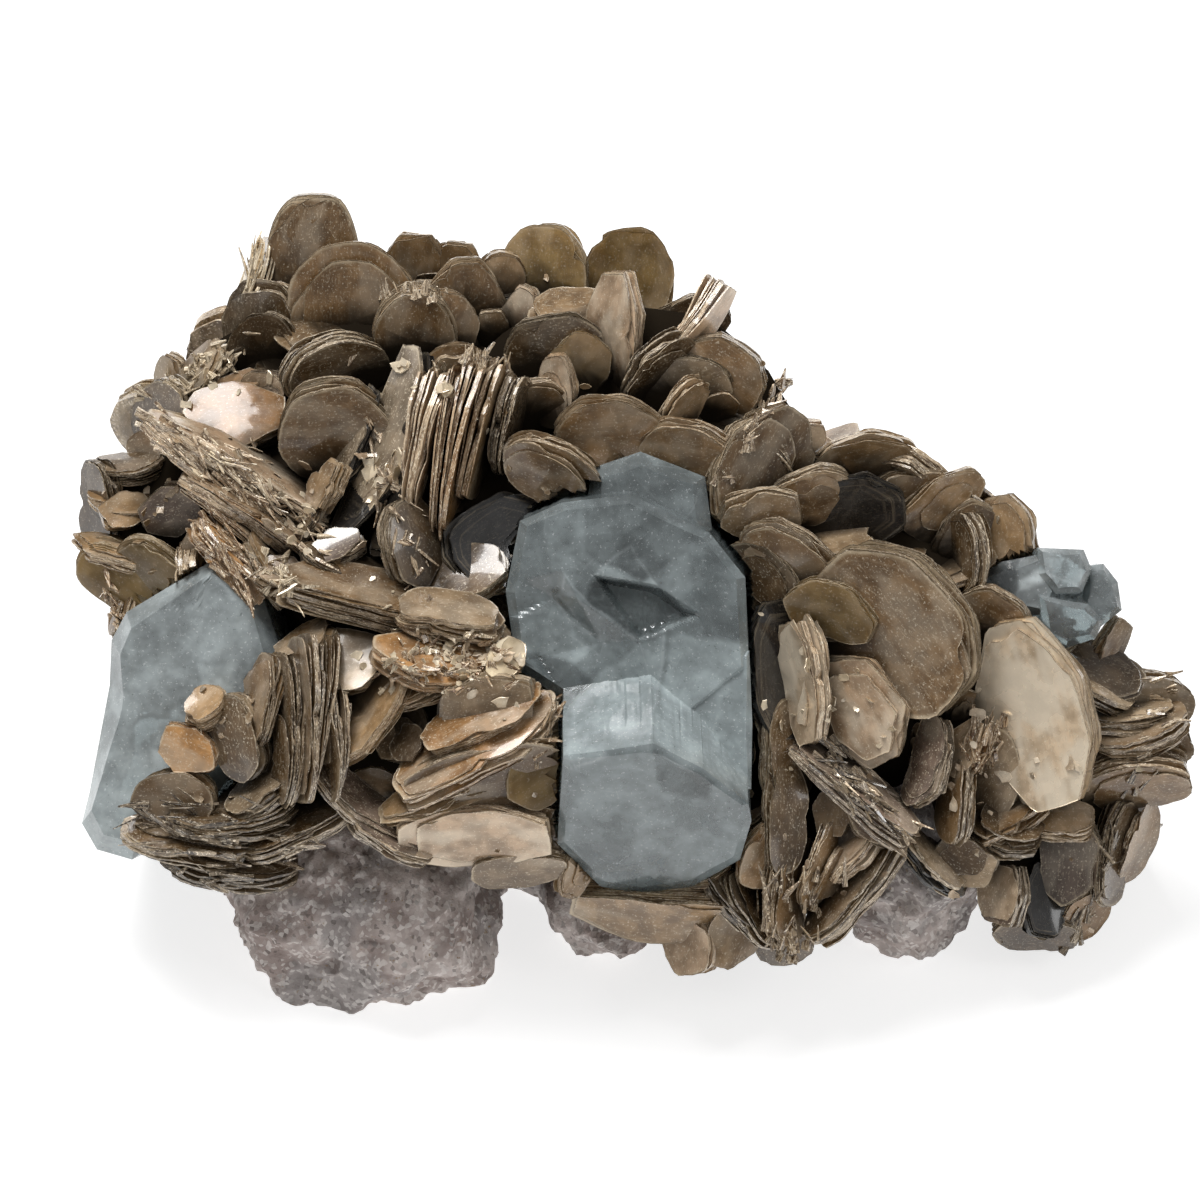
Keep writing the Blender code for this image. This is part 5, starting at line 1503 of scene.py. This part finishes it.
def cover_bare(shell, covers, hearts, face, hidden_only, seed, fineness):
    """Lay small flat books, in staggered rows, where a heart shows bare from one side.

    None is laid near the foot or the front's outline, nor, if so asked, where the front would show it.
    """
    chance = np.random.RandomState(seed)
    books, middle = tree_of(covers), tree_of([hearts])
    out, over = Vector(face["out"]), Vector(FRONT["out"])
    for row, column in np.ndindex(COVER_ROWS, COVER_COLUMNS):
        across = column - 0.5 * (COVER_COLUMNS - 1) + 0.5 * (row % 2)
        u = COVER_WIDE * across + chance.uniform(-9, 9)
        v = COVER_HIGH * (row - COVER_UNDER) + chance.uniform(-7, 7)
        start = Vector(to_world(face, u, v, COVER_SIGHT))
        bare, covered = middle.ray_cast(start, -out), books.ray_cast(start, -out)
        spot = bare[0]
        if spot is None or spot.z < COVER_FOOT:
            continue
        if covered[0] is not None and covered[3] < bare[3]:
            continue
        if hidden_only:
            unwanted = is_free((books, middle), spot + out * 0.002 + Vector((0, 0, 0.004)), over)
        else:
            outside = spot + Vector(FRONT["up"]) * 0.007 + over * 0.1
            unwanted = is_free((books, middle), outside, -over)
        if unwanted:
            continue
        high = (np.array(spot) - face["middle"]) @ face["out"] / UNIT
        book = (u, v, high - swell(face, u, v) + COVER_RISE,
                chance.uniform(84, 112), chance.uniform(62, 84), COVER_THICK,
                chance.uniform(-70, 70), 90 + chance.uniform(-40, 40), chance.uniform(14, 34),
                COVER_TONES[column % len(COVER_TONES)])
        add_book(shell, face, book, seed + COVER_COLUMNS * row + column, COVER_FINENESS * fineness)


class SPECIMEN_OT_books(bpy.types.Operator):
    """Build the rosettes of mica books, one piece for each rosette"""

    bl_idname = "specimen.books"
    bl_label = "Mica rosettes"

    def execute(self, context):
        look = look_of(context)
        finish = mica_finish()
        shells, hearts = {}, Shell()
        add_heart(hearts, FRONT, CORE)
        for number, (group, rosette) in enumerate(ROSETTES.items()):
            shell = shells["mica_" + group] = Shell()
            hidden = rosette["face"] is not FRONT
            for k, row in enumerate(rosette["books"]):
                add_book(shell, rosette["face"], row, 100 + 50 * number + k,
                         look.fineness * (HIDDEN_FINENESS if hidden else 1.0))
            if rosette["heart"]:
                add_heart(hearts, rosette["face"], rosette["heart"])
        shell = shells["mica_between"] = Shell()
        for k, row in enumerate(EXTRA_BOOKS):
            add_book(shell, FRONT, row, 1000 + k, look.fineness)
        for number, (face, hidden_only) in enumerate(BARE_SIDES):
            cover_bare(shell, list(shells.values()), hearts, face, hidden_only, 1100 + 60 * number,
                       look.fineness)
        shells["mica_core"] = hearts
        paint_gap_shade(list(shells.values()))
        for name, shell in shells.items():
            place_piece(name, shell.mesh(name), finish, "mica", "muscovite")
        return {"FINISHED"}


FRONT_SIGHT = 900.0                              # height over the front side it is looked at from


def outermost(trees, u, v):
    """Point and normal where a line of sight along the front side's axis first meets the mica."""
    start, way = Vector(to_world(FRONT, u, v, FRONT_SIGHT)), Vector(-FRONT["out"])
    hits = [tree.ray_cast(start, way) for tree in trees]
    hits = [hit for hit in hits if hit[0] is not None]
    if not hits:
        return None
    point, normal = min(hits, key=lambda hit: hit[3])[:2]
    return np.array(point), np.array(normal)


def mica_trees(context):
    """Trees for ray casting of all the mica's pieces."""
    return [BVHTree.FromObject(o, context.evaluated_depsgraph_get())
            for o in bpy.data.objects if o.name.startswith("mica_")]


# Torn bundles: u, v, half width, half height, direction and its spread in degrees, count,
# splinter length, finish.  A bundle that runs aslant is sheared along its direction.
BUNDLES = (
    (-362, 122, 95, 26, -37, 16, 84, 40, "p"),
    (-362, 122, 95, 26, -37, 22, 30, 30, "c"),
    (-352, 334, 12, 34, 80, 10, 22, 34, "c"),
    (-365, 45, 36, 34, -48, 18, 46, 32, "g"),
    (-314, 22, 28, 20, -30, 60, 34, 18, "c"),
    (-148, -58, 76, 30, 10, 55, 70, 20, "g"),
    (-148, -62, 76, 28, 0, 70, 30, 14, "c"),
    (-482, -18, 12, 22, -70, 25, 22, 20, "g"),
    (-120, 232, 42, 8, 75, 14, 36, 20, "t"),
    (-385, -238, 85, 36, 176, 16, 46, 36, "d"),
    (-330, -262, 110, 26, -12, 24, 26, 26, "v"),
    (-42, -112, 20, 20, 60, 40, 26, 18, "g"),
    (250, -180, 60, 24, -44, 12, 50, 34, "d"),
    (262, -190, 60, 24, -44, 12, 30, 26, "s"),
    (380, -145, 22, 26, 80, 20, 40, 24, "g"),
    (184, -342, 24, 14, 85, 20, 30, 24, "t"),
    (560, -110, 30, 36, 8, 14, 14, 16, "t"),
    (-185, 306, 40, 8, 100, 20, 24, 14, "s"),
    (160, 182, 46, 16, 60, 25, 36, 18, "p"),
    (-395, 232, 42, 20, 20, 60, 40, 16, "c"),
    (-210, 118, 40, 44, -70, 30, 34, 24, "p"),
    (200, -300, 44, 40, 80, 20, 30, 30, "b"),
    (488, -300, 60, 30, 70, 25, 40, 26, "d"),
)


class SPECIMEN_OT_bundles(bpy.types.Operator):
    """Lay the torn, fibrous bundles of splinters over the books"""

    bl_idname = "specimen.bundles"
    bl_label = "Torn bundles"

    def execute(self, context):
        chance = np.random.RandomState(23)
        trees = mica_trees(context)
        shell = Shell()
        right, up, out = FRONT["right"], FRONT["up"], FRONT["out"]
        for u, v, wide, high, way, spread, count, length, tone in BUNDLES:
            for _ in range(count):
                x, y = np.clip(chance.normal(size=2) * 0.5, -1.0, 1.0) * (wide, high)
                if abs(math.sin(math.radians(2 * way))) > 0.5:
                    y = y + x * math.tan(math.radians(way))
                found = outermost(trees, u + x, v + y)
                if found is None:
                    continue
                point, normal = found
                turn = math.radians(way + chance.normal() * spread)
                along = unit(right * math.cos(turn) + up * math.sin(turn)
                             + out * chance.uniform(-0.15, 0.5))
                flat = unit(np.cross(along, unit(chance.normal(size=3) * 0.5 + normal)))
                face_tone, gleam, _ = TONES[tone]
                add_splinter(shell, point - along * 0.3 * length * UNIT, along, np.cross(flat, along),
                             length * chance.uniform(0.5, 1.3), chance.uniform(2.0, 9.0),
                             face_tone, gleam, chance)
        place_piece("mica_bundles", shell.mesh("mica_bundles"), bpy.data.materials[MICA], "mica")
        return {"FINISHED"}


# Where loose flakes lie: u, v, half width, half height, share, size, finish
FLAKE_FIELDS = (
    (-150, -62, 75, 34, 16, 9, "c"),
    (-100, -60, 50, 30, 8, 8, "s"),
    (-350, 120, 95, 55, 12, 9, "p"),
    (-430, 90, 60, 60, 8, 8, "t"),
    (-285, 60, 40, 45, 8, 9, "c"),
    (-385, 215, 50, 30, 5, 8, "c"),
    (-400, -130, 60, 60, 6, 7, "t"),
    (220, -110, 70, 80, 12, 7, "c"),
    (400, -150, 60, 60, 8, 9, "s"),
    (-60, 60, 200, 300, 14, 6, "t"),
    (250, -250, 200, 80, 12, 6, "p"),
    (0, 0, 470, 300, 20, 5, "c"),
    (-150, 206, 8, 14, 4, 12, "c"),
    (-195, 226, 6, 10, 2, 11, "c"),
    (-210, 128, 20, 18, 6, 12, "c"),
)


class SPECIMEN_OT_flakes(bpy.types.Operator):
    """Scatter bright flakes over the rosettes"""

    bl_idname = "specimen.flakes"
    bl_label = "Loose flakes"

    def execute(self, context):
        look = look_of(context)
        chance = np.random.RandomState(41)
        trees = mica_trees(context)
        shares = sum(row[4] for row in FLAKE_FIELDS)
        shell = Shell()
        for u, v, wide, high, share, size, tone in FLAKE_FIELDS:
            for _ in range(int(look.flakes * share / shares)):
                at = (u + wide * np.clip(chance.normal() * 0.55, -1.2, 1.2),
                      v + high * np.clip(chance.normal() * 0.55, -1.2, 1.2))
                found = outermost(trees, *at)
                if found is None:
                    continue
                point, normal = found
                lean = unit(normal * 0.8 + chance.normal(size=3) * 0.35)
                x_axis = unit(np.cross(lean, chance.normal(size=3)))
                axes = np.array((x_axis, np.cross(lean, x_axis), lean))
                add_flake(shell, point + lean * 0.6 * UNIT, axes,
                          size * chance.uniform(0.45, 1.3), TONES[tone][0], TONES[tone][1], chance)
        place_piece("mica_flakes", shell.mesh("mica_flakes"), bpy.data.materials[MICA], "mica")
        return {"FINISHED"}


AROUND_CRYSTAL, ACROSS_END = 200, 48             # points round a crystal, rings across its end face


class SPECIMEN_OT_crystals(bpy.types.Operator):
    """Build the three groups of aquamarine with their etched end faces"""

    bl_idname = "specimen.crystals"
    bl_label = "Aquamarines"

    def execute(self, context):
        look = look_of(context)
        groups = (
            ("main", ((UPPER, UPPER_RELIEF, 1.0), (LOWER, LOWER_RELIEF, 1.0), (TOP, FLAT_RELIEF, 0.5),
                      (SHOULDER, FLAT_RELIEF, 0.5)),
             MAIN_AREAS, MAIN_LINES, (0.95, 0.55), look.main_tint, 45.0),
            ("left", ((LEFT, LEFT_RELIEF, 1.0),),
             LEFT_AREAS, LEFT_LINES, (1.0, 0.70), look.left_tint, 30.0),
            ("right", tuple((part, FLAT_RELIEF, 0.35) for part in CLUSTER),
             RIGHT_AREAS, RIGHT_LINES, (0.95, 0.55), look.right_tint, 60.0),
        )
        for seed, (name, parts, areas, lines, ground, tint, depth) in enumerate(groups):
            shells = [prism_surface(part, relief, 17 * seed + k,
                                    int(AROUND_CRYSTAL * size), int(ACROSS_END * size))
                      for k, (part, relief, size) in enumerate(parts)]
            mesh = grown_together("crystal_" + name, shells)
            paint_crystal(mesh, areas, lines, ground)
            finish = beryl_finish("aquamarine " + name, tuple(tint), depth)
            place_piece("crystal_" + name, mesh, finish, "beryl", "aquamarine_" + name)
        return {"FINISHED"}


LIT = Vector((0, 0, 0.03))                       # the spot that the lamps face
FLOOR_LEVEL, FLOOR_HALF = -0.00005, 4            # height and half width of the floor in metres
SENSOR = 36.0                                    # width of the camera's sensor in mm
CAMERA_AWAY = 1.4                                # metres from the middle of the front side
CAMERA_LENS = SENSOR * CAMERA_AWAY / 0.150       # the view is 150 mm wide there


def area_lamp(name, place, size, power):
    """A square soft white light at a place, facing the specimen."""
    lamp = bpy.data.lights.new(name, "AREA")
    lamp.size, lamp.energy = size, power
    obj = bpy.data.objects.new(name, lamp)
    obj.location = place
    obj.rotation_euler = (LIT - Vector(place)).to_track_quat("-Z", "Y").to_euler()
    bpy.context.scene.collection.objects.link(obj)


class SPECIMEN_OT_stage(bpy.types.Operator):
    """Lay the pale floor, hang the soft lights and set the camera"""

    bl_idname = "specimen.stage"
    bl_label = "Studio stage"

    def execute(self, context):
        look = look_of(context)
        scene = context.scene
        mesh = bpy.data.meshes.new("floor")
        corners = [(x * FLOOR_HALF, y * FLOOR_HALF, FLOOR_LEVEL)
                   for x, y in ((-1, -1), (1, -1), (1, 1), (-1, 1))]
        mesh.from_pydata(corners, (), ((0, 1, 2, 3),))
        mesh.materials.append(floor_finish())
        floor = bpy.data.objects.new("floor", mesh)
        scene.collection.objects.link(floor)

        world = bpy.data.worlds.new("studio air")
        world.use_nodes = True
        air = world.node_tree.nodes["Background"].inputs
        air["Color"].default_value = (1.0, 1.0, 1.0, 1.0)
        air["Strength"].default_value = 0.30
        scene.world = world
        scene.view_settings.view_transform = "Standard"
        area_lamp("key light", (-0.22, 0.34, 0.85), 0.45, look.key_light)
        area_lamp("fill light", (0.55, -0.25, 0.65), 0.30, 0.9)

        lens = bpy.data.cameras.new("camera")
        lens.lens, lens.sensor_width = CAMERA_LENS, SENSOR
        lens.clip_start, lens.clip_end = 0.05, 20.0
        eye = bpy.data.objects.new("camera", lens)
        away = FRONT["out"]
        eye.location = FRONT["middle"] + away * CAMERA_AWAY
        eye.rotation_euler = Matrix((FRONT["right"], FRONT["up"], away)).transposed().to_euler()
        scene.collection.objects.link(eye)
        scene.camera = eye
        return {"FINISHED"}


class SPECIMEN_PT_panel(bpy.types.Panel):
    """Everything that builds the specimen"""

    bl_label = "Specimen"
    bl_space_type = "VIEW_3D"
    bl_region_type = "UI"
    bl_category = "Specimen"

    def draw(self, context):
        look = look_of(context)
        for key in look.bl_rna.properties.keys():
            if key not in ("rna_type", "name"):
                self.layout.prop(look, key)
        for step in STEPS:
            self.layout.operator(step.bl_idname)


STEPS = (SPECIMEN_OT_rock, SPECIMEN_OT_books, SPECIMEN_OT_bundles, SPECIMEN_OT_flakes,
         SPECIMEN_OT_crystals, SPECIMEN_OT_stage)
CLASSES = (SpecimenLook,) + STEPS + (SPECIMEN_PT_panel,)


def register():
    """Make the settings, the operators and the panel known to Blender."""
    for cls in CLASSES:
        bpy.utils.register_class(cls)
    bpy.types.Scene.specimen_look = bpy.props.PointerProperty(type=SpecimenLook)


def unregister():
    """Take them all away again."""
    del bpy.types.Scene.specimen_look
    for cls in reversed(CLASSES):
        bpy.utils.unregister_class(cls)


def main():
    """Build everything."""
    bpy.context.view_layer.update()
    register()
    bpy.ops.specimen.rock()
    bpy.ops.specimen.books()
    bpy.ops.specimen.bundles()
    bpy.ops.specimen.flakes()
    bpy.ops.specimen.crystals()
    bpy.ops.specimen.stage()


if __name__ == "__main__":
    main()
